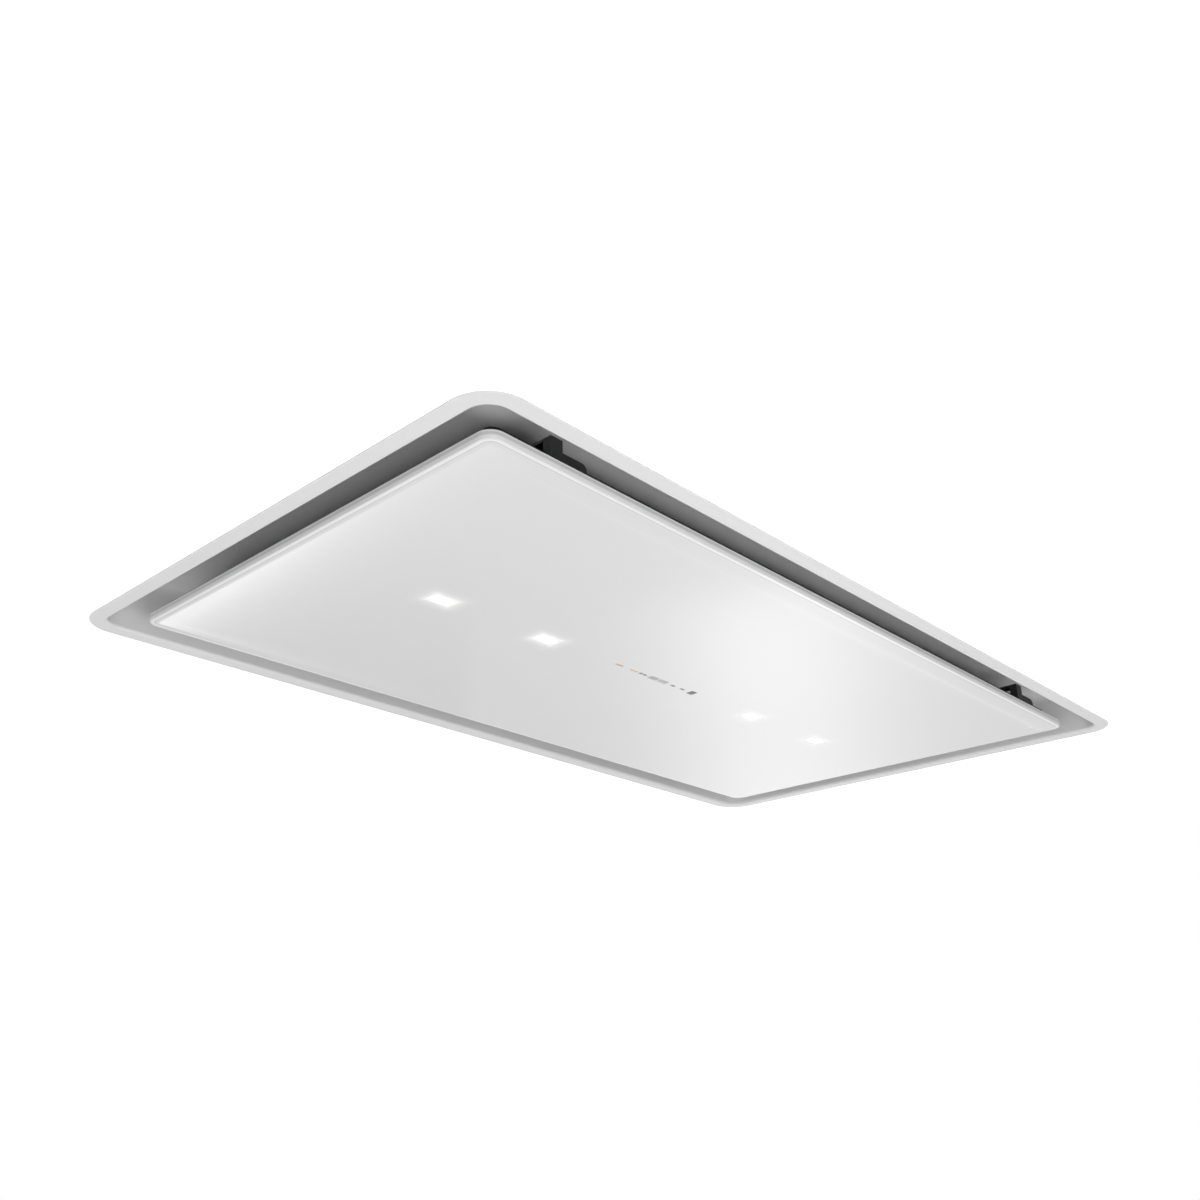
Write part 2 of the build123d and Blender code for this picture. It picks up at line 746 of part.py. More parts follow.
def motor_bearings():
    """Two ball bearings inside the motor's tube."""
    low = z_tube_low + bearing_inset
    high = z_scroll_top - motor_flange_thickness - bearing_inset - bearing_width
    rings = [sleeve(bearing_radius, shaft_radius + running_clearance, z, z + bearing_width,
                    blower_x, blower_y) for z in (low, high)]
    return Compound(children=rings)


def motor_tube():
    """Bearing tube with the flange that hangs the motor from its spider."""
    flange = post(motor_flange_radius, z_scroll_top - motor_flange_thickness, z_scroll_top)
    tube = post(bearing_tube_radius, z_tube_low, z_scroll_top)
    body = flange + tube - post(bearing_radius, z_tube_low - cut, z_scroll_top + cut)
    return Pos(blower_x, blower_y, 0) * body


def motor_stator():
    """Slotted core of the stator."""
    z_high = z_stator + stator_height
    core = sleeve(stator_radius, bearing_tube_radius, z_stator, z_high)
    slot = slab(slot_depth + cut, slot_width, z_stator - cut, z_high + cut, 0,
                stator_radius + (cut - slot_depth) / 2, 0)
    core -= [Rot(0, 0, index * 360.0 / stator_slots) * slot for index in range(stator_slots)]
    return Pos(blower_x, blower_y, 0) * core


def motor_windings():
    """End turns of the winding, below and above the core."""
    outer = stator_radius - winding_inset
    inner = bearing_tube_radius + winding_core_gap
    z_low, z_high = z_stator, z_stator + stator_height
    lower = sleeve(outer, inner, z_low - winding_height, z_low, blower_x, blower_y)
    lower = fillet(lower.edges().filter_by(GeomType.CIRCLE).group_by(Axis.Z)[0], winding_round)
    upper = sleeve(outer, inner, z_high, z_high + winding_height, blower_x, blower_y)
    upper = fillet(upper.edges().filter_by(GeomType.CIRCLE).group_by(Axis.Z)[-1], winding_round)
    return Compound(children=[lower, upper])


def motor_spider():
    """Flat spider over the upper inlet that carries the motor."""
    z_low = z_scroll_top + inlet_sheet
    z_high = z_low + spider_sheet
    ring_inner = inlet_flange_radius - spider_ring_width
    spider = sleeve(inlet_flange_radius, ring_inner, z_low, z_high)
    spider += post(spider_radius, z_low, z_high)
    length = ring_inner - spider_radius + 2 * spider_arm_overlap
    arm = slab(length, spider_arm_width, z_low, z_high, 0, (ring_inner + spider_radius) / 2, 0)
    spider += [Rot(0, 0, angle) * arm for angle in (45, 135, 225, 315)]
    spider += post(spider_boss_radius, z_scroll_top, z_low)
    spider -= post(spider_bore, z_scroll_top - cut, z_high + cut)
    return Pos(blower_x, blower_y, 0) * spider


# ---------------------------------------------------------------- outlet
def mouth_section(x, grow):
    """Rectangle of the scroll's mouth."""
    half_width = scroll_outlet_width / 2 + grow
    half_height = scroll_height / 2 - scroll_sheet + grow
    corners = [(-half_width, -half_height), (half_width, -half_height),
               (half_width, half_height), (-half_width, half_height)]
    edges = [Line(corners[index], corners[(index + 1) % 4]) for index in range(4)]
    return Plane.YZ.offset(x) * (Pos(outlet_y, blower_z) * make_face(edges))


def round_section(x, radius):
    """Circle of the duct in four arcs, so that it pairs with the rectangle's sides."""
    slant = radius * sqrt(0.5)
    corners = [(-slant, -slant), (slant, -slant), (slant, slant), (-slant, slant)]
    middles = [(0, -radius), (radius, 0), (0, radius), (-radius, 0)]
    edges = [ThreePointArc(corners[index], middles[index], corners[(index + 1) % 4])
             for index in range(4)]
    return Plane.YZ.offset(x) * (Pos(outlet_y, blower_z) * make_face(edges))


def outlet_duct():
    """Transition from the scroll's rectangular mouth to the round outlet."""
    x_end = casing_x - casing_sheet
    bore = duct_radius - spigot_wall
    shell = loft([mouth_section(mouth_x, duct_sheet), round_section(x_end, bore + duct_sheet)],
                 ruled=True)
    air = loft([mouth_section(mouth_x, 0.0), round_section(x_end, bore)], ruled=True)
    flange = rod_x(bore + spigot_flange, x_end - duct_sheet, x_end, outlet_y, blower_z)
    flange -= rod_x(bore, x_end - duct_sheet - cut, x_end + cut, outlet_y, blower_z)
    return shell - air + flange


def duct_spigot():
    """Round spigot outside the casing's end, drilled for the flaps' pin."""
    x_high = casing_x + spigot_length
    spigot = rod_x(duct_radius, casing_x, x_high, outlet_y, blower_z)
    spigot += rod_x(duct_radius + spigot_flange, casing_x, casing_x + duct_sheet, outlet_y,
                    blower_z)
    spigot -= rod_x(duct_radius - spigot_wall, casing_x - cut, x_high + cut, outlet_y, blower_z)
    rim = spigot.edges().filter_by(GeomType.CIRCLE).sort_by(Axis.X)[-1]
    spigot = chamfer(rim, spigot_wall / 2)
    return spigot - post(flap_pin_radius, blower_z - duct_radius - cut,
                         blower_z + duct_radius + cut, flap_x, outlet_y)


def flap_pin():
    """Upright pin across the spigot that both flaps turn on."""
    return post(flap_pin_radius, blower_z - duct_radius, blower_z + duct_radius, flap_x, outlet_y)


def backdraught_flap(side):
    """Half disc with two knuckles on the upright pin."""
    disc = rod_x(flap_radius, flap_x - flap_thickness / 2, flap_x + flap_thickness / 2,
                 outlet_y, blower_z)
    half = slab(2 * flap_thickness, 2 * flap_radius, blower_z - flap_radius,
                blower_z + flap_radius, 0, flap_x, outlet_y + side * (flap_root_gap + flap_radius))
    flap = disc & half
    # the knuckles of the two flaps take turns along the pin
    first = -1.5 if side < 0 else -0.5
    web_y = outlet_y + side * (flap_root_gap + flap_thickness) / 2
    for step in (first, first + 2):
        middle = blower_z + step * flap_knuckle_pitch
        low, high = middle - flap_knuckle_length / 2, middle + flap_knuckle_length / 2
        flap += post(flap_knuckle_radius, low, high, flap_x, outlet_y)
        flap += slab(flap_thickness, flap_root_gap + flap_thickness, low, high, 0, flap_x, web_y)
        flap -= post(flap_pin_radius + running_clearance, low - cut, high + cut, flap_x, outlet_y)
    return flap


# ---------------------------------------------------------------- electrics
def control_box():
    """Steel box under the casing's top, open below, with a window for the gland's lead."""
    face = box_x - box_length / 2
    box = slab(box_length, box_width, z_box, z_box_roof + box_sheet, box_corner, box_x)
    box -= slab(box_length - 2 * box_sheet, box_width - 2 * box_sheet, z_box - cut, z_box_roof,
                box_corner - box_sheet, box_x)
    return box - rod_x(gland_radius + gland_entry_gap, face - cut, face + box_sheet + cut,
                       gland_y, gland_z)


def control_box_lid():
    """Pan that closes the control box from below."""
    length = box_length + 2 * fit_clearance
    width = box_width + 2 * fit_clearance
    corner = box_corner + fit_clearance
    lid = slab(length + 2 * box_sheet, width + 2 * box_sheet, z_box - box_sheet,
               z_box + lid_depth, corner + box_sheet, box_x)
    return lid - slab(length, width, z_box, z_box + lid_depth + cut, corner, box_x)


def control_board():
    """Board with its relays and heat sink, on four posts."""
    z_high = z_box_roof - board_standoff
    z_low = z_high - board_thickness
    board = slab(board_length, board_width, z_low, z_high, 0, box_x, board_y)
    for side_x in (-1, 1):
        for side_y in (-1, 1):
            board += post(board_post_radius, z_high, z_box_roof,
                          box_x + side_x * (board_length / 2 - board_post_inset),
                          board_y + side_y * (board_width / 2 - board_post_inset))
    relay_x = box_x - board_length / 4
    for index, (width, height) in enumerate(relay_sizes):
        y = board_y + (index - (len(relay_sizes) - 1) / 2) * relay_pitch
        board += slab(relay_length, width, z_low - height, z_low, 0, relay_x, y)
    sink_x = box_x + board_length / 4
    sink_y = board_y - board_width / 4
    sink_width = (sink_fin_count - 1) * sink_fin_pitch + sink_fin
    board += slab(sink_length, sink_width, z_low - sink_base, z_low, 0, sink_x, sink_y)
    for index in range(sink_fin_count):
        y = sink_y + (index - (sink_fin_count - 1) / 2) * sink_fin_pitch
        board += slab(sink_length, sink_fin, z_low - sink_height, z_low, 0, sink_x, y)
    return board


def led_driver():
    """Sealed power supply of the lamps, with a fixing ear on each side."""
    x = box_x + driver_x
    driver = slab(driver_length, driver_width, z_box_roof - driver_height, z_box_roof,
                  driver_corner, x, driver_y)
    driver += slab(driver_ear_length, driver_width + 2 * driver_ear_reach,
                   z_box_roof - driver_ear_thickness, z_box_roof, 0, x, driver_y)
    return driver


def run_capacitor():
    """Motor capacitor, a can on its side in a clip."""
    x_low = box_x + capacitor_x - capacitor_length / 2
    x_high = x_low + capacitor_length
    z_middle = z_box_roof - capacitor_drop
    can = rod_x(capacitor_radius, x_low, x_high, capacitor_y, z_middle)
    can = fillet(can.edges().filter_by(GeomType.CIRCLE), capacitor_round)
    can += rod_x(capacitor_cap_radius, x_high, x_high + capacitor_cap_length, capacitor_y, z_middle)
    can += slab(clip_length, clip_width, z_middle, z_box_roof, 0, box_x + capacitor_x, capacitor_y)
    return can


def terminal_block():
    """Three-pole block where the house's supply is joined."""
    x = box_x + terminal_x
    z_low = z_box_roof - terminal_height
    block = slab(terminal_width, terminal_length, z_low, z_box_roof, 0, x, terminal_y)
    for index in range(terminal_poles):
        y = terminal_y + (index - (terminal_poles - 1) / 2) * terminal_pitch
        block -= post(terminal_screw_radius, z_low - cut, z_low + terminal_screw_depth, x, y)
        block -= slab(terminal_width + 2 * cut, terminal_mouth_width,
                      z_box_roof - terminal_mouth_drop,
                      z_box_roof - terminal_mouth_drop + terminal_mouth_height, 0, x, y)
    return block


def cable_gland():
    """Supply lead's gland through the casing's end: a body, a collar and a cap."""
    face = -casing_x
    x_low = face - gland_length
    x_high = face + gland_length
    body = rod_x(gland_radius, face, x_high, gland_y, gland_z)
    collar = along_x(Pos(gland_y, gland_z) * RegularPolygon(gland_radius + gland_collar_margin, 6),
                     face - gland_collar, face)
    cap = rod_x(gland_radius + gland_cap_margin, x_low, face - gland_collar, gland_y, gland_z)
    rim = cap.edges().filter_by(GeomType.CIRCLE).sort_by(Axis.X)[0]
    gland = body + collar + fillet(rim, gland_cap_round)
    return gland - rod_x(gland_bore, x_low - cut, x_high + cut, gland_y, gland_z)


# ---------------------------------------------------------------- grease filters
def filter_frame(x):
    """Channel frame of a filter, with rear tabs and the latch's pocket."""
    frame = slab(filter_length, filter_width, z_filter, z_filter_top, filter_corner, x)
    frame -= slab(filter_length - 2 * filter_bar, filter_width - 2 * filter_bar,
                  z_filter - cut, z_filter_top + cut, 0, x)
    frame -= slab(filter_length - 2 * (filter_bar - mesh_groove),
                  filter_width - 2 * (filter_bar - mesh_groove),
                  z_mesh, z_mesh + mesh_thickness, 0, x)
    pad_y = latch_front + latch_pad_width / 2
    frame += slab(latch_pad_length, latch_pad_width, z_filter, z_filter_top, 0, x, pad_y)
    pocket_y = latch_front + filter_skin + pocket_width / 2
    frame -= slab(latch_length + 2 * free_clearance, pocket_width, z_pocket,
                  z_filter_top + cut, 0, x, pocket_y)
    frame -= slab(latch_tongue_length + 2 * free_clearance, 2 * (filter_skin + cut), z_pocket,
                  z_filter_top + cut, 0, x, latch_front)
    pull_room = latch_pull_width + latch_travel + 2 * free_clearance
    frame -= slab(latch_pull_length + 2 * free_clearance, pull_room, z_filter - cut,
                  z_filter_top + cut, 0, x, latch_y + latch_travel / 2)
    for tab_x in (x - tab_offset, x + tab_offset):
        frame += slab(tab_length, tab_reach + tab_root, z_deck_top, z_deck_top + tab_thickness, 0,
                      tab_x, filter_width / 2 + (tab_reach - tab_root) / 2)
    return frame


def filter_mesh(x):
    """Expanded aluminium mat in the groove, a lattice of diamond openings."""
    length = filter_length - 2 * (filter_bar - mesh_groove + fit_clearance)
    width = filter_width - 2 * (filter_bar - mesh_groove + fit_clearance)
    pitch_x = (length - 2 * mesh_groove) / mesh_columns
    pitch_y = (width - 2 * mesh_groove) / mesh_rows
    half_x = (pitch_x - mesh_web / 2) / 2
    half_y = (pitch_y - mesh_web / 2) / 2
    diamond = outline_of([(-half_x, 0), (0, -half_y), (half_x, 0), (0, half_y)])
    pad_length = latch_pad_length + 2 * fit_clearance
    pad_width = latch_pad_width + fit_clearance
    openings = []
    for row in range(mesh_rows):
        for column in range(mesh_columns):
            dx = (column - (mesh_columns - 1) / 2) * pitch_x
            dy = (row - (mesh_rows - 1) / 2) * pitch_y
            at_latch = abs(dx) < pad_length / 2 + half_x and dy - half_y < latch_front + pad_width
            if not at_latch:
                openings.append(Pos(dx, dy) * diamond)
    sheet = Rectangle(length, width) - openings
    sheet -= Pos(0, latch_front) * Rectangle(pad_length, 2 * pad_width)
    return Pos(x, 0, z_mesh) * extrude(sheet, amount=mesh_thickness)


def filter_latch(x):
    """Sliding latch: plate, tongue over the deck and a pull below the filter."""
    z_high = z_latch + latch_plate_thickness
    latch = slab(latch_length, latch_plate_width, z_latch, z_high, 0, x, latch_y)
    tongue_front = latch_front - filter_gap - latch_tongue_reach
    tongue_back = latch_y
    latch += slab(latch_tongue_length, tongue_back - tongue_front, z_latch, z_high, 0, x,
                  (tongue_back + tongue_front) / 2)
    latch += slab(latch_pull_length, latch_pull_width, z_filter - latch_pull_drop, z_latch,
                  latch_pull_corner, x, latch_y)
    return latch


def filter_latch_spring(x):
    """Bowed leaf between the latch's plate and the back of its pocket."""
    front = latch_y + latch_plate_width / 2 + leaf_gap
    back = latch_front + filter_skin + pocket_width
    half = latch_length / 2 - leaf_inset
    hollow = [(-half, back - leaf_thickness), (0, front), (half, back - leaf_thickness)]
    crown = [(half, back), (0, front + leaf_thickness), (-half, back)]
    leaf = make_face([ThreePointArc(*hollow), Line(hollow[-1], crown[0]), ThreePointArc(*crown),
                      Line(crown[-1], hollow[0])])
    return Pos(x, 0, z_latch) * extrude(leaf, amount=latch_plate_thickness)


# ---------------------------------------------------------------- glass panel
def glass_panel():
    """White glass with a bevelled lower edge and four windows for the lenses."""
    glass = slab(panel_length, panel_width, z_face, z_glass_top, glass_corner)
    lower = glass.edges().group_by(Axis.Z)[0]
    bottom = glass.faces().sort_by(Axis.Z)[0]
    glass = chamfer(lower, glass_bevel_height, glass_bevel_width, reference=bottom)
    for x in lamp_places:
        glass -= slab(lens_length + 2 * fit_clearance, lens_width + 2 * fit_clearance,
                      z_face - cut, z_glass_top + cut, lens_corner, x)
    return glass


def panel_carrier():
    """Shallow steel tray bonded to the back of the glass, with two pressed ribs."""
    carrier = slab(carrier_length, carrier_width, z_glass_top, z_rim, carrier_corner)
    carrier -= slab(carrier_length - 2 * carrier_sheet, carrier_width - 2 * carrier_sheet,
                    z_carrier, z_rim + cut, carrier_corner - carrier_sheet)
    window_length = lens_length + 2 * (lens_flange + fit_clearance)
    window_width = lens_width + 2 * (lens_flange + fit_clearance)
    for x in lamp_places:
        carrier -= slab(window_length, window_width, z_glass_top - cut, z_carrier + cut, 0, x)
    carrier -= slab(touch_length + 2 * fit_clearance, touch_width + 2 * fit_clearance,
                    z_glass_top - cut, z_carrier + cut, 0)
    rib_length = carrier_length - 2 * rib_end_gap
    z_rib = z_carrier + rib_height
    for y in (-carrier_width / 4, carrier_width / 4):
        raised = Pos(0, y, z_carrier) * extrude(SlotOverall(rib_length, rib_width),
                                                amount=rib_height)
        hollow = Pos(0, y, z_glass_top - cut) * extrude(
            SlotOverall(rib_length - 2 * carrier_sheet, rib_width - 2 * carrier_sheet),
            amount=z_rib - carrier_sheet - z_glass_top + cut)
        carrier = carrier + raised - hollow
    return carrier


def lamp_lenses():
    """Four frosted lenses, each flush with the glass and flanged behind it."""
    lenses = []
    for x in lamp_places:
        lens = slab(lens_length, lens_width, z_face, z_glass_top, lens_corner, x)
        lens += slab(lens_length + 2 * lens_flange, lens_width + 2 * lens_flange, z_glass_top,
                     z_glass_top + lens_flange_thickness, 0, x)
        lenses.append(lens)
    return Compound(children=lenses)


def led_boards():
    """Four small boards, each with two chips over its lens."""
    boards = []
    for x in lamp_places:
        board = slab(lens_length + 2 * led_board_margin, lens_width + 2 * led_board_margin,
                     z_led_board, z_led_board + led_board_thickness, 0, x)
        for side in (-1, 1):
            board += slab(led_chip, led_chip, z_led_board - led_chip_height, z_led_board, 0,
                          x + side * led_chip_pitch / 2)
        boards.append(board)
    return Compound(children=boards)


def lamp_housings():
    """Four finned covers that hold the lamp boards and shed their heat."""
    length = lens_length + 2 * (lens_flange + lamp_box_margin)
    width = lens_width + 2 * (lens_flange + lamp_box_margin)
    z_high = z_carrier + lamp_box_height
    housings = []
    for x in lamp_places:
        cover = slab(length, width, z_carrier, z_high, 0, x)
        cover -= slab(length - 2 * lamp_box_wall, width - 2 * lamp_box_wall, z_carrier - cut,
                      z_led_board + led_board_thickness, 0, x)
        for index in range(lamp_slot_count):
            slot_x = x + (index - (lamp_slot_count - 1) / 2) * lamp_slot_pitch
            cover -= slab(lamp_slot_width, width + 2 * cut, z_high - lamp_slot_depth, z_high + cut,
                          0, slot_x)
        housings.append(cover)
    return Compound(children=housings)


def touch_board():
    """Sensor board against the back of the glass, with its chip and its connector."""
    z_high = z_glass_top + touch_board_thickness
    board = slab(touch_length, touch_width, z_glass_top, z_high)
    for x, length, width, height in (touch_chip, touch_connector):
        board += slab(length, width, z_high, z_high + height, 0, x)
    return board


def touch_cover():
    """Moulded cover over the sensor board."""
    length = touch_length + 2 * touch_cover_margin
    width = touch_width + 2 * touch_cover_margin
    z_high = z_carrier + touch_cover_height
    cover = slab(length, width, z_carrier, z_high, touch_cover_corner)
    cover = fillet(cover.edges().group_by(Axis.Z)[-1], touch_cover_edge)
    return cover - slab(length - 2 * touch_cover_wall, width - 2 * touch_cover_wall,
                        z_carrier - cut, z_high - touch_cover_wall,
                        touch_cover_corner - touch_cover_wall)


# ---------------------------------------------------------------- hinges and catches
def hinge_brackets():
    """Two channels under the deck, whose cheeks hold the hinge pins."""
    inner_gap = barrel_length + 2 * free_clearance
    outer_length = inner_gap + 2 * cheek_thickness
    cheek = outline_of([(hinge_y - cheek_back, z_deck), (hinge_y + cheek_front, z_deck),
                        (hinge_y + cheek_half_width, hinge_z), (hinge_y - cheek_half_width, hinge_z)])
    cheek += Pos(hinge_y, hinge_z) * Circle(cheek_half_width)
    base_width = cheek_back + cheek_front + 2 * hinge_base_margin
    base_y = hinge_y + (cheek_front - cheek_back) / 2
    brackets = []
    for x in fitting_places:
        bracket = slab(outer_length, base_width, z_deck - cheek_thickness, z_deck, 0, x, base_y)
        for start in (x - outer_length / 2, x + inner_gap / 2):
            bracket += along_x(cheek, start, start + cheek_thickness)
        bracket -= rod_x(hinge_pin_radius, x - outer_length / 2 - cut, x + outer_length / 2 + cut,
                         hinge_y, hinge_z)
        brackets.append(bracket)
    return Compound(children=brackets)


def hinge_pins():
    """Two headed pins, held in the cheeks."""
    half = barrel_length / 2 + free_clearance + cheek_thickness
    pins = []
    for x in fitting_places:
        pin = rod_x(hinge_pin_radius, x - half - hinge_pin_tail, x + half, hinge_y, hinge_z)
        pin += rod_x(hinge_pin_head, x + half, x + half + hinge_pin_head_thickness, hinge_y, hinge_z)
        pins.append(pin)
    return Compound(children=pins)


def hinge_arms():
    """Two arms from the carrier's floor up to barrels on the hinge pins."""
    front = carrier_width / 2 - carrier_sheet - arm_rim_gap
    profile = outline_of([
        (front - arm_reach, z_carrier), (front, z_carrier), (front, hinge_z),
        (front - arm_sheet, hinge_z), (front - arm_sheet, z_carrier + arm_sheet),
        (front - arm_reach, z_carrier + arm_sheet)])
    profile += Pos(hinge_y, hinge_z) * Circle(barrel_radius)
    foot_y = front - (arm_reach + arm_sheet) / 2
    arms = []
    for x in fitting_places:
        arm = along_x(profile, x - barrel_length / 2, x + barrel_length / 2)
        arm += slab(barrel_length + 2 * arm_foot_margin, arm_foot_length, z_carrier,
                    z_carrier + arm_sheet, arm_foot_corner, x, foot_y)
        arm -= rod_x(hinge_pin_radius + running_clearance, x - barrel_length / 2 - cut,
                     x + barrel_length / 2 + cut, hinge_y, hinge_z)
        arms.append(arm)
    return Compound(children=arms)


def catch_brackets():
    """Two stepped box brackets on the carrier's near rim, each with an arm to its armature."""
    z_step = z_face + catch_step_rise
    z_post = z_face + catch_post_rise
    z_low = z_glass_top + free_clearance
    depth = carrier_inset - catch_inset
    front = Plane(origin=(0, catch_y, 0), x_dir=(1, 0, 0), z_dir=(0, -1, 0))
    brackets = []
    for x in fitting_places:
        left = x - catch_length / 2
        right = x + catch_length / 2
        post_x = x + post_shift
        post_right = left + catch_post_length
        outline = outline_of([(left, z_low), (right, z_low), (right, z_step),
                              (post_right, z_step), (post_right, z_post), (left, z_post)])
        step_end = outline.vertices().sort_by(Axis.X)[-2:].sort_by(Axis.Y)[-1]
        outline = fillet(step_end, catch_step_corner)
        bracket = extrude(front * outline, amount=-depth)
        bracket -= slab(catch_length - 2 * catch_sheet, depth - 2 * catch_sheet,
                        z_low + catch_sheet, z_step - catch_sheet, 0, x, catch_y + depth / 2)
        bracket -= slab(catch_post_length - 2 * catch_sheet, depth, z_step - 2 * catch_sheet,
                        z_post - catch_sheet, 0, post_x, catch_y + catch_sheet + depth / 2)
        bracket += slab(catch_post_length, magnet_y - catch_y, z_post - catch_sheet, z_post, 0,
                        post_x, (magnet_y + catch_y) / 2)
        bracket += slab(armature_size, armature_size, z_post - catch_sheet, z_post,
                        armature_corner, post_x, magnet_y)
        brackets.append(bracket)
    return Compound(children=brackets)


def magnet_housings():
    """Two moulded holders under the deck, each with a pocket for its magnet."""
    holders = []
    for x in fitting_places:
        holder = slab(magnet_box_size, magnet_box_size, z_armature, z_deck, magnet_box_corner,
                      x + post_shift, magnet_y)
        holder = fillet(holder.edges().group_by(Axis.Z)[0], magnet_box_edge)
        holder -= post(magnet_radius + fit_clearance, z_armature - cut,
                       z_armature + magnet_thickness, x + post_shift, magnet_y)
        holders.append(holder)
    return Compound(children=holders)


def catch_magnets():
    """Two round magnets."""
    return Compound(children=[
        post(magnet_radius, z_armature, z_armature + magnet_thickness, x + post_shift, magnet_y)
        for x in fitting_places])


# ---------------------------------------------------------------- the assembly
write(frame_tray(), "frame_tray")
write(casing_wrap(), "casing_wrap")
write(casing_rail(-1), "casing_rail_near")
write(casing_rail(1), "casing_rail_far")
write(end_plate(-1), "end_plate_left")
write(end_plate(1), "end_plate_right")
write(suspension_brackets(), "suspension_brackets")
write(casing_screws(), "casing_screws")

write(scroll_half(False), "scroll_lower")
write(scroll_half(True), "scroll_upper")
write(inlet_ring(False), "inlet_ring_lower")
write(inlet_ring(True), "inlet_ring_upper")
write(inlet_guard(), "inlet_guard")
write(rubber_mounts(), "rubber_mounts")
write(impeller(), "impeller")
write(motor_rotor(), "motor_rotor")
write(motor_shaft(), "motor_shaft")
write(motor_bearings(), "motor_bearings")
write(motor_tube(), "motor_tube")
write(motor_stator(), "motor_stator")
write(motor_windings(), "motor_windings")
write(motor_spider(), "motor_spider")

write(outlet_duct(), "outlet_duct")
write(duct_spigot(), "duct_spigot")
write(flap_pin(), "flap_pin")
write(backdraught_flap(-1), "flap_near")
write(backdraught_flap(1), "flap_far")

write(control_box(), "control_box")
write(control_box_lid(), "control_box_lid")
write(control_board(), "control_board")
write(led_driver(), "led_driver")
write(run_capacitor(), "run_capacitor")
write(terminal_block(), "terminal_block")
write(cable_gland(), "cable_gland")

for place, x in zip(("left", "right"), filter_places):
    write(filter_frame(x), f"filter_{place}_frame")
    write(filter_mesh(x), f"filter_{place}_mesh")
    write(filter_latch(x), f"filter_{place}_latch")
    write(filter_latch_spring(x), f"filter_{place}_spring")

write(glass_panel(), "glass_panel")
write(panel_carrier(), "panel_carrier")
write(lamp_lenses(), "lamp_lenses")
write(led_boards(), "led_boards")
write(lamp_housings(), "lamp_housings")
write(touch_board(), "touch_board")
write(touch_cover(), "touch_cover")
write(hinge_brackets(), "hinge_brackets")
write(hinge_pins(), "hinge_pins")
write(hinge_arms(), "hinge_arms")
write(catch_brackets(), "catch_brackets")
write(magnet_housings(), "magnet_housings")
write(catch_magnets(), "catch_magnets")
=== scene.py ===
"""Flush ceiling hood: finishes, fine mesh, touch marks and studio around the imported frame."""
import json
import math

import bmesh
import bpy
from mathutils import Matrix, Vector


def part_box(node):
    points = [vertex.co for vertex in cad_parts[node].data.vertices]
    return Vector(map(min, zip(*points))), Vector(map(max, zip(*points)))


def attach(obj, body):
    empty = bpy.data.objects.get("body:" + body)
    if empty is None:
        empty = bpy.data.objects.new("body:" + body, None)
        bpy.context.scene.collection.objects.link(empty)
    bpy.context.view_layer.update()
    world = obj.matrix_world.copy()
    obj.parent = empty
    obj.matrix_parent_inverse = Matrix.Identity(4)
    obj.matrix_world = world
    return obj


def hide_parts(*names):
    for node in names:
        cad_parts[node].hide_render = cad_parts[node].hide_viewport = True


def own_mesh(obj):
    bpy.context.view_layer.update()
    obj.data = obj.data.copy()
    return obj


bl_info = {
    "name": "Ceiling Hood",
    "version": (1, 0, 0),
    "blender": (4, 5, 0),
    "location": "3D View > Sidebar > Hood",
    "description": "Dresses a flush ceiling hood with its finishes, filter mats and studio",
    "category": "Object",
}

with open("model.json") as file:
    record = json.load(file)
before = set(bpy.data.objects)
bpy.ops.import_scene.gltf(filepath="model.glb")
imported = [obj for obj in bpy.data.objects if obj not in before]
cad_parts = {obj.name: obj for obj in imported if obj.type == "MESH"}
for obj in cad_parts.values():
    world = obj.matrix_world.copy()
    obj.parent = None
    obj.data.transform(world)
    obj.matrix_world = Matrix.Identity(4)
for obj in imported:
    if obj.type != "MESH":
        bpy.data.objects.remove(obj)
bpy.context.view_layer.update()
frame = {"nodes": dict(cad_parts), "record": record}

glass_low, glass_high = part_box("glass_panel")
casing_low, casing_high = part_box("casing_wrap")
lens_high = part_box("lamp_lenses")[1]

WHITE = (1.0, 1.0, 1.0, 1.0)
BLACK = (0.0, 0.0, 0.0, 1.0)

# Lengths are in metres, unless a line says otherwise.

# lamps: the lit face of a lens, the rim round it, and how far its middle is from the hood's
LENS_LENGTH = 0.024
LENS_WIDTH = 0.015
LENS_RIM = 0.004
LAMP_OUTER = lens_high.x - LENS_LENGTH / 2 - LENS_RIM
LAMP_INNER = 0.148

# painted highlights (ridge, arris) and painted shade (groove, flank) along the glass's edge:
# distance from where they are measured, how far off their middle they begin and end to fade, and
# strength
RIDGE_HIGHLIGHT = (0.0, 0.0002, 0.0009, 0.95)         # from the inner side of the bevel
GROOVE_SHADE_LINE = (0.0016, 0.0003, 0.0010, 0.5)
ARRIS_HIGHLIGHT = (-0.0006, 0.0002, 0.0008, 0.8)      # from the glass's upper face
FLANK_SHADE_LINE = (-0.0026, 0.0006, 0.0016, 0.6)
# painted highlight on the bevel: how far its edge blurs and how far it lifts the colour towards
# white
BEVEL_BLUR = 0.0008
BEVEL_HIGHLIGHT_LIFT = 0.4
SHELF_HIGHLIGHT = (0.0045, 0.007)                     # painted highlight on a strip behind the bevel, from the glass's side
SHELF_HIGHLIGHT_LIFT = 0.15
# how dark the painted shade of the groove and flank lines is
GROOVE_SHADE = 0.8

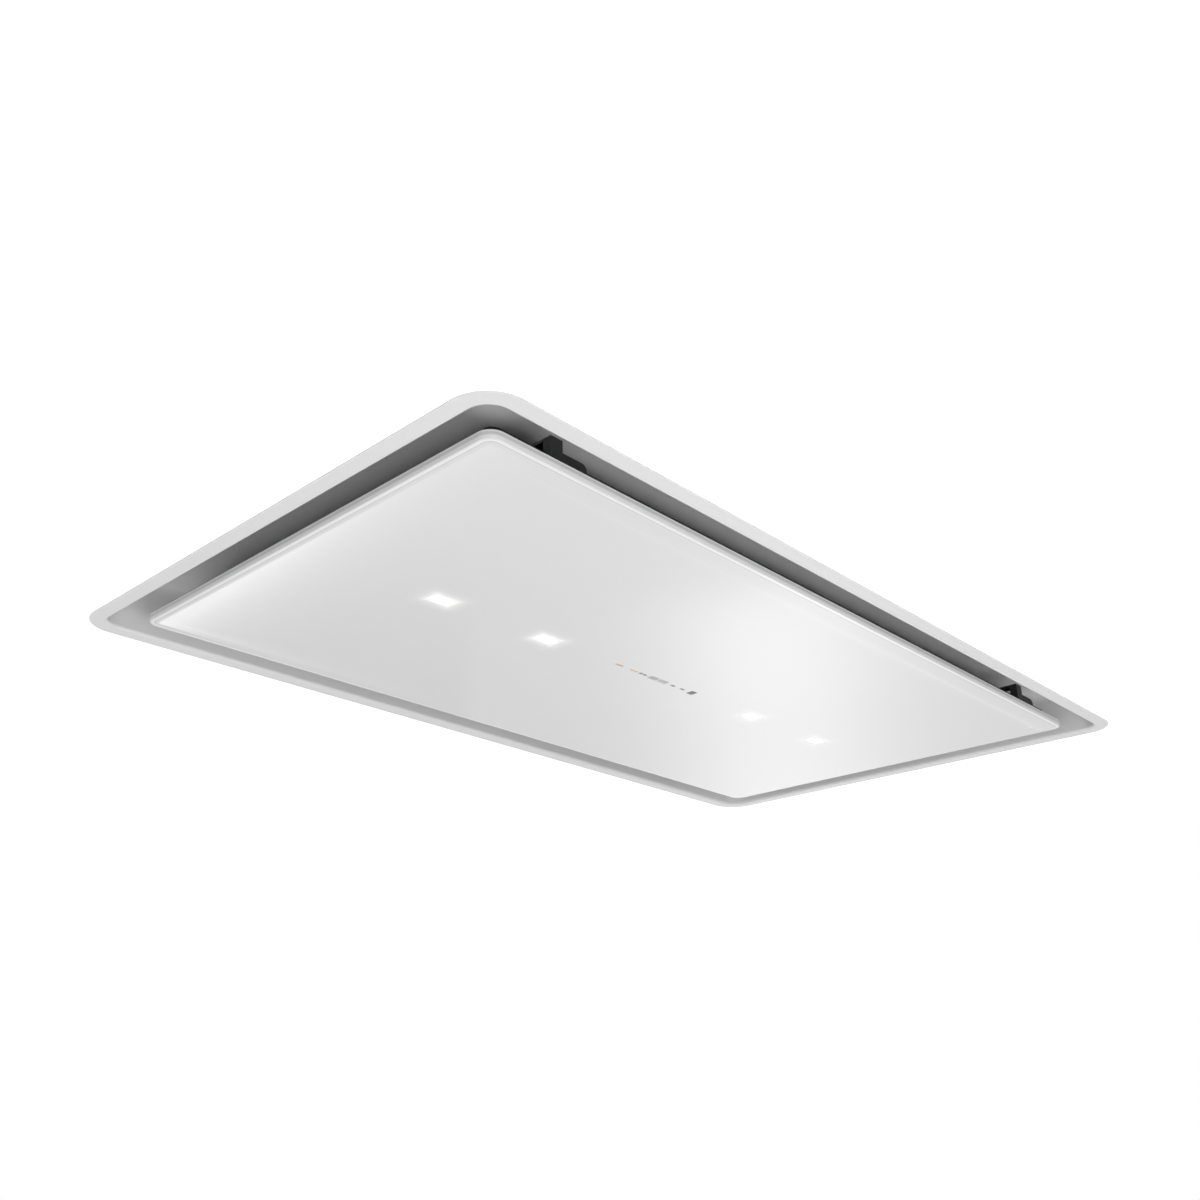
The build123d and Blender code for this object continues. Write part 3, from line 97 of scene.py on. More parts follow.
# painted glow: light caught in the glass, painted into its colour; distances from its left, far
# and near sides
CLEAR_EDGE = (0.0065, 0.0095)               # it starts behind the bevel
LEFT_START, LEFT_REACH = 0.011, 0.03
LEFT_RISE = (0.0, 0.42)                     # it grows towards the far corner
LEFT_LEAST, LEFT_GAIN = 0.3, 0.95
FAR_START, FAR_REACH = 0.015, 0.014
FAR_RISE = (0.011, 0.017)
CORNER_START, CORNER_REACH = 0.02, 0.05
ALONG_FADE, ALONG_LIFT = (0.05, 0.4), 0.2
NEAR_LINE, NEAR_REACH = 0.021, 0.004
NEAR_FADE = (0.8, 0.3)
NEAR_LEAST, NEAR_GAIN = 0.12, 0.3
CLOUD_LIFT = 0.03

# painted highlights at two corners of the glass: middle, radius and strength
LEFT_SPARK = ((-0.3975, 0.1965), 0.006, 1.0)
RIGHT_SPARK = ((0.192, -0.1855), 0.004, 0.7)
RIGHT_SPARK_SQUEEZE = 0.5                   # along the hood, so it comes out twice as long

# painted glow that the glass gives off by itself, though it is no lamp: round the lamps and at its
# left side
HALO_END = 0.05
HALO_FADE = (-0.1, 0.1)                     # weaker round the right pair of lamps
HALO_LEAST, HALO_GAIN = 0.4, 0.6
HALO_SHINE = 0.24
LEFT_SHINE = 0.13

# camera, solved on the outline of the flange
CAMERA_PLACE = (-0.83163, -0.67147, -0.38649)
CAMERA_AROUND, CAMERA_UP, CAMERA_ROLL = (math.radians(a) for a in (-45.184, -23.778, -0.077))
CAMERA_SENSOR, CAMERA_LENS = 36.0, 36.11    # these two in millimetres
CAMERA_SHIFT = 0.05

# stage
FLOOR_REACH = 4.5
FLOOR_GLOW, BOARD_GLOW_BELOW, BOARD_GLOW_ABOVE = 0.42, 1.0, 0.3
BOARD_BASE = 0.0001                         # the board's lower face, clear of the flange
CUT_OUT_HALF = (0.440, 0.2395)
SQUARE = ((-1, -1), (1, -1), (1, 1), (-1, 1))

# soft lamps: name, place, the point they face, length and height, watts, shown in gloss or not
STUDIO_LAMPS = (
    ("lamp_key", (-1.5, -0.6, -1.15), (0.0, 0.0, 0.0), (1.3, 0.5), 6.3, False),
    ("lamp_near", (-0.4, -1.35, -1.1), (0.0, 0.0, 0.0), (1.2, 0.35), 9.0, False),
    ("lamp_top", (-1.2, -1.9, 2.2), (0.0, 0.0, 0.1), (1.8, 1.8), 30.0, True),
    ("lamp_back", (1.8, 1.9, 1.7), (0.0, 0.0, 0.1), (1.6, 1.6), 20.0, True),
)

# screen that the glass mirrors
SCREEN_DISTANCE = 4.7
SCREEN_HALF = 1.3
SCREEN_LOW, SCREEN_HIGH = -1.7, -0.65
SCREEN_FADE = (-1.65, -0.9)                 # brighter towards its foot
SCREEN_LEAST, SCREEN_GAIN = 0.56, 0.44

# touch marks: first bar's middle along and across, count, pitch, length, width, colour
TOUCH_MARKS = (
    (-0.0575, -0.0035, 1, 0.01, 0.0095, 0.0028, "warm"),
    (-0.0395, -0.0030, 2, 0.005, 0.0035, 0.0028, "warm"),
    (-0.0270, -0.0030, 2, 0.0055, 0.004, 0.0030, "grey"),
    (-0.0135, -0.0030, 5, 0.00225, 0.0012, 0.0065, "grey"),
    (-0.0005, -0.0030, 5, 0.00245, 0.0012, 0.0065, "grey"),
    (0.0200, -0.0025, 1, 0.01, 0.0055, 0.0026, "grey"),
    (0.0340, -0.0025, 1, 0.01, 0.0055, 0.0026, "grey"),
    (0.0488, -0.0025, 1, 0.01, 0.0080, 0.0080, "dark"),
)

# filter mats: turn and share of the filter's height of each layer
MAT_LAYERS = ((0.0, 0.3), (90.0, 0.7))
STRAND_THICKNESS = 0.0007
NOTCH_OVERRUN = 0.01                        # past the mat's edge, so that the notch is open

MERGE_DISTANCE = 0.00001

RIVET_EDGE = 0.006                          # from the casing's end to the middle of the heads
RIVET_SINK = 0.002                          # below the casing's highest face


# ---------------------------------------------------------------- nodes written as expressions
class Signal:
    """One output socket, with ordinary arithmetic on it."""

    def __init__(self, tree, socket):
        self.tree = tree
        self.socket = socket

    def out(self, name):
        """Another output of the same node."""
        return Signal(self.tree, self.socket.node.outputs[name])

    def math(self, operation, *others):
        values = dict(enumerate((self,) + others))
        return self.tree.node("ShaderNodeMath", {"operation": operation}, values)

    def math_after(self, operation, first):
        """The same with this socket in second place."""
        return self.tree.node("ShaderNodeMath", {"operation": operation}, {0: first, 1: self})

    def __add__(self, other):
        return self.math("ADD", other)

    def __sub__(self, other):
        return self.math("SUBTRACT", other)

    def __mul__(self, other):
        return self.math("MULTIPLY", other)

    def __truediv__(self, other):
        return self.math("DIVIDE", other)

    def __mod__(self, other):
        return self.math("MODULO", other)

    def __radd__(self, other):
        return self.math_after("ADD", other)

    def __rsub__(self, other):
        return self.math_after("SUBTRACT", other)

    def __rmul__(self, other):
        return self.math_after("MULTIPLY", other)

    def __neg__(self):
        return 0.0 - self

    def __abs__(self):
        return self.math("ABSOLUTE")

    def least(self, other):
        return self.math("MINIMUM", other)

    def most(self, other):
        return self.math("MAXIMUM", other)

    def distance(self, other):
        """Length of the way that has this value along one axis and the other across it."""
        return (self * self + other * other).math("SQRT")

    def decay(self, reach):
        """Exponential fall with distance."""
        return (self / -reach).math("EXPONENT")

    def stripes(self):
        """1 at whole numbers, 0 half-way between them."""
        return abs(self.math("FRACT") - 0.5) * 2.0

    def fade(self, start, end):
        """1 up to start, 0 from end on, smooth between."""
        settings = {"interpolation_type": "SMOOTHSTEP"}
        values = {"Value": self, "From Min": start, "From Max": end, "To Min": 1.0, "To Max": 0.0}
        return self.tree.node("ShaderNodeMapRange", settings, values)

    def line(self, origin, middle, start, end, strength):
        """Soft line where this value is the origin plus the middle."""
        return abs(self - (origin + middle)).fade(start, end) * strength


class Tree:
    """A node tree, and the one method that adds nodes to it."""

    def __init__(self, group):
        self.group = group

    def node(self, kind, settings=None, values=None, output=0):
        """Add a node: its settings first, then what its sockets hold or are linked to."""
        made = self.group.nodes.new(kind)
        for name, value in (settings or {}).items():
            setattr(made, name, value)
        for name, value in (values or {}).items():
            socket = made.inputs[name]
            if isinstance(value, Signal):
                self.group.links.new(value.socket, socket)
            else:
                socket.default_value = value
        return Signal(self, made.outputs[output]) if len(made.outputs) else made


class Finish(Tree):
    """A material with one principled shader, built from expressions."""

    def __init__(self, name, **constants):
        self.material = bpy.data.materials.new(name)
        self.material.use_nodes = True
        super().__init__(self.material.node_tree)
        self.group.nodes.clear()
        surface = self.node("ShaderNodeBsdfPrincipled")
        self.shader = surface.socket.node
        self.node("ShaderNodeOutputMaterial", None, {"Surface": surface})
        self.at = self.node("ShaderNodeTexCoord", output="Object")
        for socket, value in constants.items():
            self.shader.inputs[socket.replace("_", " ")].default_value = value

    def feed(self, socket, value):
        """Link a varying value or colour to the shader."""
        self.group.links.new(value.socket, self.shader.inputs[socket])
        return self

    def axes(self):
        parts = self.node("ShaderNodeSeparateXYZ", None, {0: self.at})
        return parts, parts.out("Y"), parts.out("Z")

    def drawn_out(self, share):
        """Coordinates with X made smaller, for a grain that runs along the hood."""
        values = {"Vector": self.at, "Scale": (share, 1.0, 1.0)}
        return self.node("ShaderNodeMapping", None, values)

    def noise(self, scale, detail=2.0, at=None):
        values = {"Vector": at or self.at, "Scale": scale, "Detail": detail}
        return self.node("ShaderNodeTexNoise", None, values)

    def cells(self, scale):
        """A different value in each cell."""
        values = {"Vector": self.at, "Scale": scale}
        colour = self.node("ShaderNodeTexVoronoi", None, values, "Color")
        return self.node("ShaderNodeSeparateColor", None, {0: colour})

    def blend(self, share, first, second):
        """Colour between two colours. A Mix node keeps its colours in sockets 6 and 7."""
        values = {0: share, 6: first, 7: second}
        return self.node("ShaderNodeMix", {"data_type": "RGBA"}, values, 2)

    def tint(self, share, colour, first, second):
        """Base colour between two multiples of the written one."""
        mixed = self.blend(share, shade(colour, first), shade(colour, second))
        return self.feed("Base Color", mixed)

    def sway(self, roughness, share, below, above):
        """Roughness from a little below the written one to a little above it."""
        return self.feed("Roughness", roughness - below + share * (below + above))

    def spot(self, x, y, middle, radius, strength):
        """Soft round spot."""
        return (x - middle[0]).distance(y - middle[1]).fade(0.0, radius) * strength

    def relief(self, height, strength, distance):
        """Fine relief from a height."""
        values = {"Height": height, "Strength": strength, "Distance": distance}
        return self.feed("Normal", self.node("ShaderNodeBump", None, values))


def opaque(colour):
    return (*colour[:3], 1.0)


def shade(colour, share):
    return (*(min(1.0, part * share) for part in colour[:3]), 1.0)


# ---------------------------------------------------------------- finishes
def powder_coat(name, colour, roughness):
    """Satin powder coat with its slight orange peel."""
    finish = Finish(name, IOR=1.5)
    cloud = finish.noise(scale=7.0)
    peel = finish.noise(scale=700.0, detail=1.0)
    finish.tint(cloud, colour, 0.95, 0.98)
    finish.sway(roughness, cloud, below=0.03, above=0.03)
    return finish.relief(peel, strength=0.12, distance=0.00003).material


def galvanised_sheet(name, colour, roughness):
    """Galvanised steel with its spangle."""
    finish = Finish(name, Metallic=0.85, IOR=1.5)
    spangle = finish.cells(scale=85.0)
    grain = finish.noise(scale=420.0, detail=3.0, at=finish.drawn_out(0.25))
    stain = finish.noise(scale=5.0, detail=3.0)
    finish.tint(spangle * 0.5 + grain * 0.25 + stain * 0.25, colour, 0.84, 1.1)
    finish.sway(roughness, spangle, below=0.06, above=0.06)
    return finish.relief(spangle + grain * 0.3, strength=0.1, distance=0.00004).material


def plated_metal(name, colour, roughness):
    """Plated or ground steel with faint lines of wear."""
    finish = Finish(name, Metallic=1.0)
    line = finish.noise(scale=260.0, detail=3.0, at=finish.drawn_out(0.12))
    cloud = finish.noise(scale=24.0, detail=3.0)
    finish.tint(cloud, colour, 0.9, 1.06)
    finish.sway(roughness, line, below=0.05, above=0.05)
    return finish.relief(line, strength=0.08, distance=0.00002).material


def rolled_aluminium(name, colour, roughness):
    """Rolled aluminium strip, with the grain of the mill along it and a film of grease."""
    finish = Finish(name, Metallic=0.95)
    grain = finish.noise(scale=340.0, detail=4.0, at=finish.drawn_out(0.06))
    grease = finish.noise(scale=16.0, detail=3.0)
    finish.tint(grain, colour, 0.88, 1.08)
    finish.feed("Roughness", roughness - 0.05 + grain * 0.06 + grease * 0.05)
    return finish.relief(grain, strength=0.1, distance=0.00003).material


def cast_metal(name, colour, roughness):
    """Die-cast metal, bead blasted."""
    finish = Finish(name, Metallic=0.7)
    pit = finish.noise(scale=900.0)
    cloud = finish.noise(scale=30.0, detail=3.0)
    finish.tint(cloud, colour, 0.85, 1.15)
    finish.sway(roughness, pit, below=0.05, above=0.05)
    return finish.relief(pit, strength=0.3, distance=0.00008).material


def moulded_plastic(name, colour, roughness):
    """Moulded plastic with a spark-eroded grain."""
    finish = Finish(name, IOR=1.48)
    grain = finish.noise(scale=1300.0)
    cloud = finish.noise(scale=20.0)
    finish.tint(cloud, colour, 0.93, 1.07)
    finish.sway(roughness, grain, below=0.04, above=0.06)
    return finish.relief(grain, strength=0.2, distance=0.00005).material


def moulded_rubber(name, colour, roughness):
    """Rubber with a dusty bloom."""
    finish = Finish(name, IOR=1.45)
    bloom = finish.noise(scale=60.0, detail=4.0)
    finish.tint(bloom, colour, 0.8, 1.9)
    finish.sway(roughness, bloom, below=0.08, above=0.08)
    return finish.relief(bloom, strength=0.3, distance=0.0002).material


def stacked_core(name, colour, roughness):
    """Half-millimetre laminations, seen as fine lines round the core."""
    per_metre = 2000.0
    finish = Finish(name, Metallic=0.8)
    seam = (finish.axes()[2] * per_metre).stripes()
    finish.tint(seam, colour, 1.2, 0.6)
    finish.sway(roughness, seam, below=0.0, above=0.1)
    return finish.relief(1.0 - seam, strength=0.5, distance=0.0001).material


def wound_copper(name, colour, roughness):
    """Enamelled wire laid round the winding."""
    per_metre = 1400.0
    finish = Finish(name, Metallic=0.75, Coat_Weight=0.6, Coat_Roughness=0.15)
    low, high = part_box("motor_windings")
    middle = (low + high) / 2
    x, y, z = finish.axes()
    from_axis = (x - middle.x).distance(y - middle.y)
    wire = ((from_axis + z) * per_metre).stripes()
    cloud = finish.noise(scale=90.0, detail=3.0)
    finish.tint(cloud * 0.5 + wire * 0.5, colour, 0.65, 1.1)
    finish.sway(roughness, wire, below=0.0, above=0.1)
    return finish.relief(1.0 - wire, strength=0.8, distance=0.0003).material


def solder_mask(name, colour, roughness):
    """Green board with the copper tracks showing through as a lighter green."""
    columns, rows, bend = 130.0, 160.0, 1.5     # tracks in a metre, and how far they wander
    finish = Finish(name, IOR=1.5)
    x, y, _ = finish.axes()
    across = (x * columns + finish.noise(scale=40.0, detail=0.0) * bend).stripes()
    along = (y * rows).stripes()
    track = across.least(along).fade(0.16, 0.24)
    finish.tint(track, colour, 0.75, 1.9)
    finish.sway(roughness, track, below=-0.1, above=0.0)
    return finish.relief(track, strength=0.4, distance=0.00004).material


def lamp_distance(x):
    """How far a place is from the middle of the nearest lamp, along the hood."""
    return abs(abs(x) - LAMP_INNER).least(abs(abs(x) - LAMP_OUTER))


def lit_lens(name, colour, roughness):
    """Frosted lens with the light of its lamp, brightest in the middle."""
    lamps = bpy.context.scene.hood_lamps
    finish = Finish(name, IOR=1.49, Emission_Strength=lamps.brightness)
    x, y, _ = finish.axes()
    off_middle = (lamp_distance(x) / (LENS_LENGTH / 2)).distance(y / (LENS_WIDTH / 2))
    frost = finish.noise(scale=1500.0, detail=1.0)
    glow = finish.blend(off_middle.fade(0.3, 0.98), shade(lamps.colour, 0.12),
                        opaque(lamps.colour))
    finish.feed("Emission Color", glow)
    finish.tint(frost, colour, 0.97, 1.0)
    finish.sway(roughness, frost, below=0.0, above=0.08)
    return finish.relief(frost, strength=0.2, distance=0.00003).material


def glass_inset(x, y, corner):
    """How far inside the glass's rounded outline a place is."""
    past_x = abs(x) - (glass_high.x - corner)
    past_y = abs(y) - (glass_high.y - corner)
    outside = past_x.most(0.0).distance(past_y.most(0.0))
    return corner - (outside + past_x.most(past_y).least(0.0))


def back_painted_glass(name, colour, roughness):
    """White enamel seen through clear glass, with painted light: a painted highlight on the bevel,
    painted shade lines, painted glow caught along two edges, and painted halos.
    """
    settings = bpy.context.scene.hood_glass
    finish = Finish(name, IOR=1.52, Emission_Strength=1.0)
    x, y, z = finish.axes()
    inset = glass_inset(x, y, settings.corner)

    # painted highlights on the bevel, the strip behind it, the ridge and the arris; painted shade
    # lines at the groove and the flank
    bevel = inset.fade(settings.bevel, settings.bevel + BEVEL_BLUR) * BEVEL_HIGHLIGHT_LIFT
    shelf_highlight = inset.fade(*SHELF_HIGHLIGHT) * SHELF_HIGHLIGHT_LIFT
    ridge_highlight = inset.line(settings.bevel, *RIDGE_HIGHLIGHT)
    groove_shade_line = inset.line(settings.bevel, *GROOVE_SHADE_LINE)
    arris_highlight = z.line(glass_high.z, *ARRIS_HIGHLIGHT)
    flank_shade_line = z.line(glass_high.z, *FLANK_SHADE_LINE)

    # painted glow along the left, far and near sides, as light caught in the glass
    from_left = x - glass_low.x
    from_far = glass_high.y - y
    from_near = y - glass_low.y
    inside = 1.0 - inset.fade(*CLEAR_EDGE)
    left_fall = (from_left - LEFT_START).decay(LEFT_REACH)
    left_rise = from_far.fade(*LEFT_RISE)
    left_glow = left_fall * (LEFT_LEAST + left_rise * LEFT_GAIN)
    far_fall = (from_far - FAR_START).decay(FAR_REACH) * (1.0 - from_far.fade(*FAR_RISE))
    far_glow = far_fall * ((from_left - CORNER_START).decay(CORNER_REACH)
                           + from_left.fade(*ALONG_FADE) * ALONG_LIFT)
    near_fall = abs(from_near - NEAR_LINE).decay(NEAR_REACH)
    near_glow = near_fall * (NEAR_LEAST + from_left.fade(*NEAR_FADE) * NEAR_GAIN)
    glow = left_glow.most(far_glow).most(near_glow) * inside
    # painted highlights at two corners
    spark = finish.spot(x, y, *LEFT_SPARK).most(
        finish.spot(x * RIGHT_SPARK_SQUEEZE, y, *RIGHT_SPARK))

    # painted highlights and painted glow lift the enamel towards white
    lift = bevel.most(shelf_highlight).most(glow).most(ridge_highlight).most(arris_highlight).most(spark)
    cloud = finish.noise(scale=3.0, detail=1.0)
    tone = finish.blend(lift + cloud * CLOUD_LIFT, opaque(colour), WHITE)
    # the painted shade lines darken it
    finish.feed("Base Color", finish.blend(groove_shade_line.most(flank_shade_line), tone, shade(colour, GROOVE_SHADE)))

    # painted glow: emission round the lamps and at the left side of the glass, which is no lamp
    off_x = (lamp_distance(x) - LENS_LENGTH / 2).most(0.0)
    off_y = (abs(y) - LENS_WIDTH / 2).most(0.0)
    away = off_x.distance(off_y)
    halo = away.decay(settings.halo) * away.fade(0.0, HALO_END)
    halo = halo * (HALO_LEAST + x.fade(*HALO_FADE) * HALO_GAIN)
    left_shine = left_fall.least(1.0) * left_rise * inside * LEFT_SHINE
    shine = finish.blend((halo * HALO_SHINE).most(left_shine), BLACK,
                         opaque(bpy.context.scene.hood_lamps.colour))
    finish.feed("Emission Color", shine)
    return finish.sway(roughness, finish.noise(scale=2.0, detail=1.0), 0.0, 0.03).material


def printed_mark(name, colour, roughness):
    """Print on the glass, a little uneven."""
    finish = Finish(name, Specular_IOR_Level=0.0)
    speckle = finish.noise(scale=1800.0)
    finish.tint(speckle, colour, 0.95, 1.05)
    return finish.sway(roughness, speckle, below=0.0, above=0.05).material


# finish and roughness of each material slot
SLOT_FINISHES = {
    "white_paint": (powder_coat, 0.38),
    "galvanised_steel": (galvanised_sheet, 0.42),
    "zinc_plated": (plated_metal, 0.3),
    "black_paint": (powder_coat, 0.34),
    "white_glass": (back_painted_glass, 0.1),
    "frosted_lens": (lit_lens, 0.35),
    "circuit_board": (solder_mask, 0.35),
    "dark_plastic": (moulded_plastic, 0.5),
    "grey_plastic": (moulded_plastic, 0.5),
    "white_plastic": (moulded_plastic, 0.42),
    "heat_sink": (cast_metal, 0.5),
    "filter_aluminium": (rolled_aluminium, 0.34),
    "filter_mat": (rolled_aluminium, 0.4),
    "rubber": (moulded_rubber, 0.8),
    "core_steel": (stacked_core, 0.45),
    "copper_wire": (wound_copper, 0.35),
    "bright_steel": (plated_metal, 0.2),
    "magnet_nickel": (plated_metal, 0.25),
}
MARK_ROUGHNESS = 0.5


# ---------------------------------------------------------------- settings
class GlassSettings(bpy.types.PropertyGroup):
    corner: bpy.props.FloatProperty(
        name="Corner", description="Corner radius of the glass", default=0.0115,
        unit="LENGTH", subtype="DISTANCE")
    bevel: bpy.props.FloatProperty(
        name="Bevel", description="Width of the polished bevel", default=0.003,
        unit="LENGTH", subtype="DISTANCE")
    halo: bpy.props.FloatProperty(
        name="Halo", description="Distance in which the lamps' halo falls to a third",
        default=0.004, unit="LENGTH", subtype="DISTANCE")


class LampSettings(bpy.types.PropertyGroup):
    colour: bpy.props.FloatVectorProperty(
        name="Colour", description="Colour of the lamps' light", default=(1.0, 0.995, 0.98),
        subtype="COLOR")
    brightness: bpy.props.FloatProperty(
        name="Brightness", description="Emission strength of the lenses", default=1.6)


class MarkSettings(bpy.types.PropertyGroup):
    grey: bpy.props.FloatVectorProperty(
        name="Grey", description="Colour of the plain touch marks", default=(0.38, 0.38, 0.38),
        subtype="COLOR")
    warm: bpy.props.FloatVectorProperty(
        name="Warm", description="Colour of the warm touch marks",
        default=(0.85, 0.58, 0.40), subtype="COLOR")
    dark: bpy.props.FloatVectorProperty(
        name="Dark", description="Colour of the square touch mark", default=(0.34, 0.34, 0.34),
        subtype="COLOR")
    thickness: bpy.props.FloatProperty(
        name="Thickness", description="Thickness of the printed marks", default=0.0001,
        unit="LENGTH", subtype="DISTANCE")


class MatSettings(bpy.types.PropertyGroup):
    diamond_length: bpy.props.FloatProperty(
        name="Diamond Length", description="Long way across one opening", default=0.011,
        unit="LENGTH", subtype="DISTANCE")
    diamond_width: bpy.props.FloatProperty(
        name="Diamond Width", description="Short way across one opening", default=0.006,
        unit="LENGTH", subtype="DISTANCE")
    strand: bpy.props.FloatProperty(
        name="Strand", description="Width of a strand", default=0.0011,
        unit="LENGTH", subtype="DISTANCE")
    notch_room: bpy.props.FloatProperty(
        name="Notch Room", description="Room left round the latch's pocket", default=0.0025,
        unit="LENGTH", subtype="DISTANCE")


class RivetSettings(bpy.types.PropertyGroup):
    radius: bpy.props.FloatProperty(
        name="Radius", description="Radius of a rivet's head", default=0.0031,
        unit="LENGTH", subtype="DISTANCE")
    count: bpy.props.IntProperty(
        name="Count", description="Rivets in one row", default=6)
    pitch: bpy.props.FloatProperty(
        name="Pitch", description="Distance between rivets", default=0.058,
        unit="LENGTH", subtype="DISTANCE")


class StageSettings(bpy.types.PropertyGroup):
    floor_drop: bpy.props.FloatProperty(
        name="Floor", description="Height of the floor under the hood", default=-1.75,
        unit="LENGTH", subtype="DISTANCE")
    ceiling: bpy.props.FloatVectorProperty(
        name="Ceiling Board", description="Length, width and thickness of the ceiling board",
        size=3, default=(1.9, 1.5, 0.0125), subtype="XYZ")
    sky: bpy.props.FloatProperty(
        name="Sky", description="Strength of the even light from all round", default=0.39)
    screen_way: bpy.props.FloatProperty(
        name="Screen Way", description="Way from the camera to the middle of the screen",
        default=math.radians(33.0), subtype="ANGLE", unit="ROTATION")
    screen_glow: bpy.props.FloatProperty(
        name="Screen Glow", description="Strength of the light in the middle of the screen",
        default=2.6)
    screen_reach: bpy.props.FloatProperty(
        name="Screen Reach", description="Distance in which the screen's light falls off",
        default=0.49, unit="LENGTH", subtype="DISTANCE")
    tone: bpy.props.FloatVectorProperty(
        name="Tone", description="Colour of the floor and the ceiling board",
        default=(0.86, 0.86, 0.86), subtype="COLOR")


# ---------------------------------------------------------------- meshes
def linked(name, mesh):
    piece = bpy.data.objects.new(name, mesh)
    bpy.context.scene.collection.objects.link(piece)
    return piece


def grown(name, group, inputs, place):
    """Run a geometry tree once and keep its result, put in its place, as a plain mesh."""
    piece = linked(name, bpy.data.meshes.new(name + "_seed"))
    modifier = piece.modifiers.new("Grow", "NODES")
    modifier.node_group = group
    for item in group.interface.items_tree:
        if item.in_out == "INPUT" and item.name in inputs:
            modifier[item.identifier] = inputs[item.name]
    bpy.context.view_layer.update()
    graph = bpy.context.evaluated_depsgraph_get()
    mesh = bpy.data.meshes.new_from_object(piece.evaluated_get(graph))
    bpy.data.objects.remove(piece)
    if not mesh.polygons:
        raise RuntimeError(f"{name} came out empty")
    mesh.transform(place)
    mesh.name = name
    return mesh


def joined(name, meshes, body):
    """One object from several meshes, with one material for each different one."""
    piece = linked(name, bpy.data.meshes.new(name))
    shape = bmesh.new()
    finishes = []
    for mesh in meshes:
        start = len(shape.faces)
        shape.from_mesh(mesh)
        shape.faces.ensure_lookup_table()
        finish = mesh.materials[mesh.polygons[0].material_index]
        if finish not in finishes:
            finishes.append(finish)
        for face in shape.faces[start:]:
            face.material_index = finishes.index(finish)
    shape.to_mesh(piece.data)
    shape.free()
    for finish in finishes:
        piece.data.materials.append(finish)
    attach(piece, body)
    return piece


class GrowTree(Tree):
    """A geometry tree with named inputs, ended by Realize Instances and Set Material."""

    def __init__(self, name, inputs):
        super().__init__(bpy.data.node_groups.new(name, "GeometryNodeTree"))
        sockets = self.group.interface
        sockets.new_socket("Geometry", in_out="OUTPUT", socket_type="NodeSocketGeometry")
        for label, kind, default in inputs:
            item = sockets.new_socket(label, in_out="INPUT", socket_type="NodeSocket" + kind)
            item.default_value = default
        sockets.new_socket("Finish", in_out="INPUT", socket_type="NodeSocketMaterial")
        self.entry = self.node("NodeGroupInput")

    def close(self, geometry):
        whole = self.node("GeometryNodeRealizeInstances", None, {0: geometry})
        painted = self.node("GeometryNodeSetMaterial", None,
                            {"Geometry": whole, "Material": self.entry.out("Finish")})
        self.node("NodeGroupOutput", None, {0: painted})
        return self.group

    def vector(self, x=0.0, y=0.0, z=0.0):
        return self.node("ShaderNodeCombineXYZ", None, {0: x, 1: y, 2: z})

    def line(self, count, offset):
        """Points in a straight row."""
        return self.node("GeometryNodeMeshLine", None, {"Count": count, "Offset": offset})

    def moved(self, geometry, offset):
        values = {"Geometry": geometry, "Offset": offset}
        return self.node("GeometryNodeSetPosition", None, values)

    def vector_math(self, operation, *vectors):
        values = dict(enumerate(vectors))
        return self.node("ShaderNodeVectorMath", {"operation": operation}, values)


def bar_row_tree():
    """Row of equal flat bars along X."""
    tree = GrowTree("bar_row", [
        ("Count", "Int", 5), ("Pitch", "Float", 0.002), ("Length", "Float", 0.001),
        ("Width", "Float", 0.006), ("Thickness", "Float", 0.0001)])
    entry = tree.entry
    line = tree.line(entry.out("Count"), tree.vector(x=entry.out("Pitch")))
    size = tree.vector(entry.out("Length"), entry.out("Width"), entry.out("Thickness"))
    bar = tree.node("GeometryNodeMeshCube", None, {"Size": size})
    row = tree.node("GeometryNodeInstanceOnPoints", None, {"Points": line, "Instance": bar})
    return tree.close(row)


def rivet_row_tree():
    """Row of domed rivet heads along X, with their middles on the row."""
    tree = GrowTree("rivet_row", [
        ("Count", "Int", 5), ("Pitch", "Float", 0.05), ("Radius", "Float", 0.003),
        ("Flatness", "Float", 0.45)])
    entry = tree.entry
    line = tree.line(entry.out("Count"), tree.vector(x=entry.out("Pitch")))
    dome = tree.node("GeometryNodeMeshUVSphere", None, {
        "Segments": 14, "Rings": 8, "Radius": entry.out("Radius")})
    smooth = tree.node("GeometryNodeSetShadeSmooth", None, {"Geometry": dome})
    row = tree.node("GeometryNodeInstanceOnPoints", None, {
        "Points": line, "Instance": smooth, "Scale": tree.vector(1.0, 1.0, entry.out("Flatness"))})
    return tree.close(row)


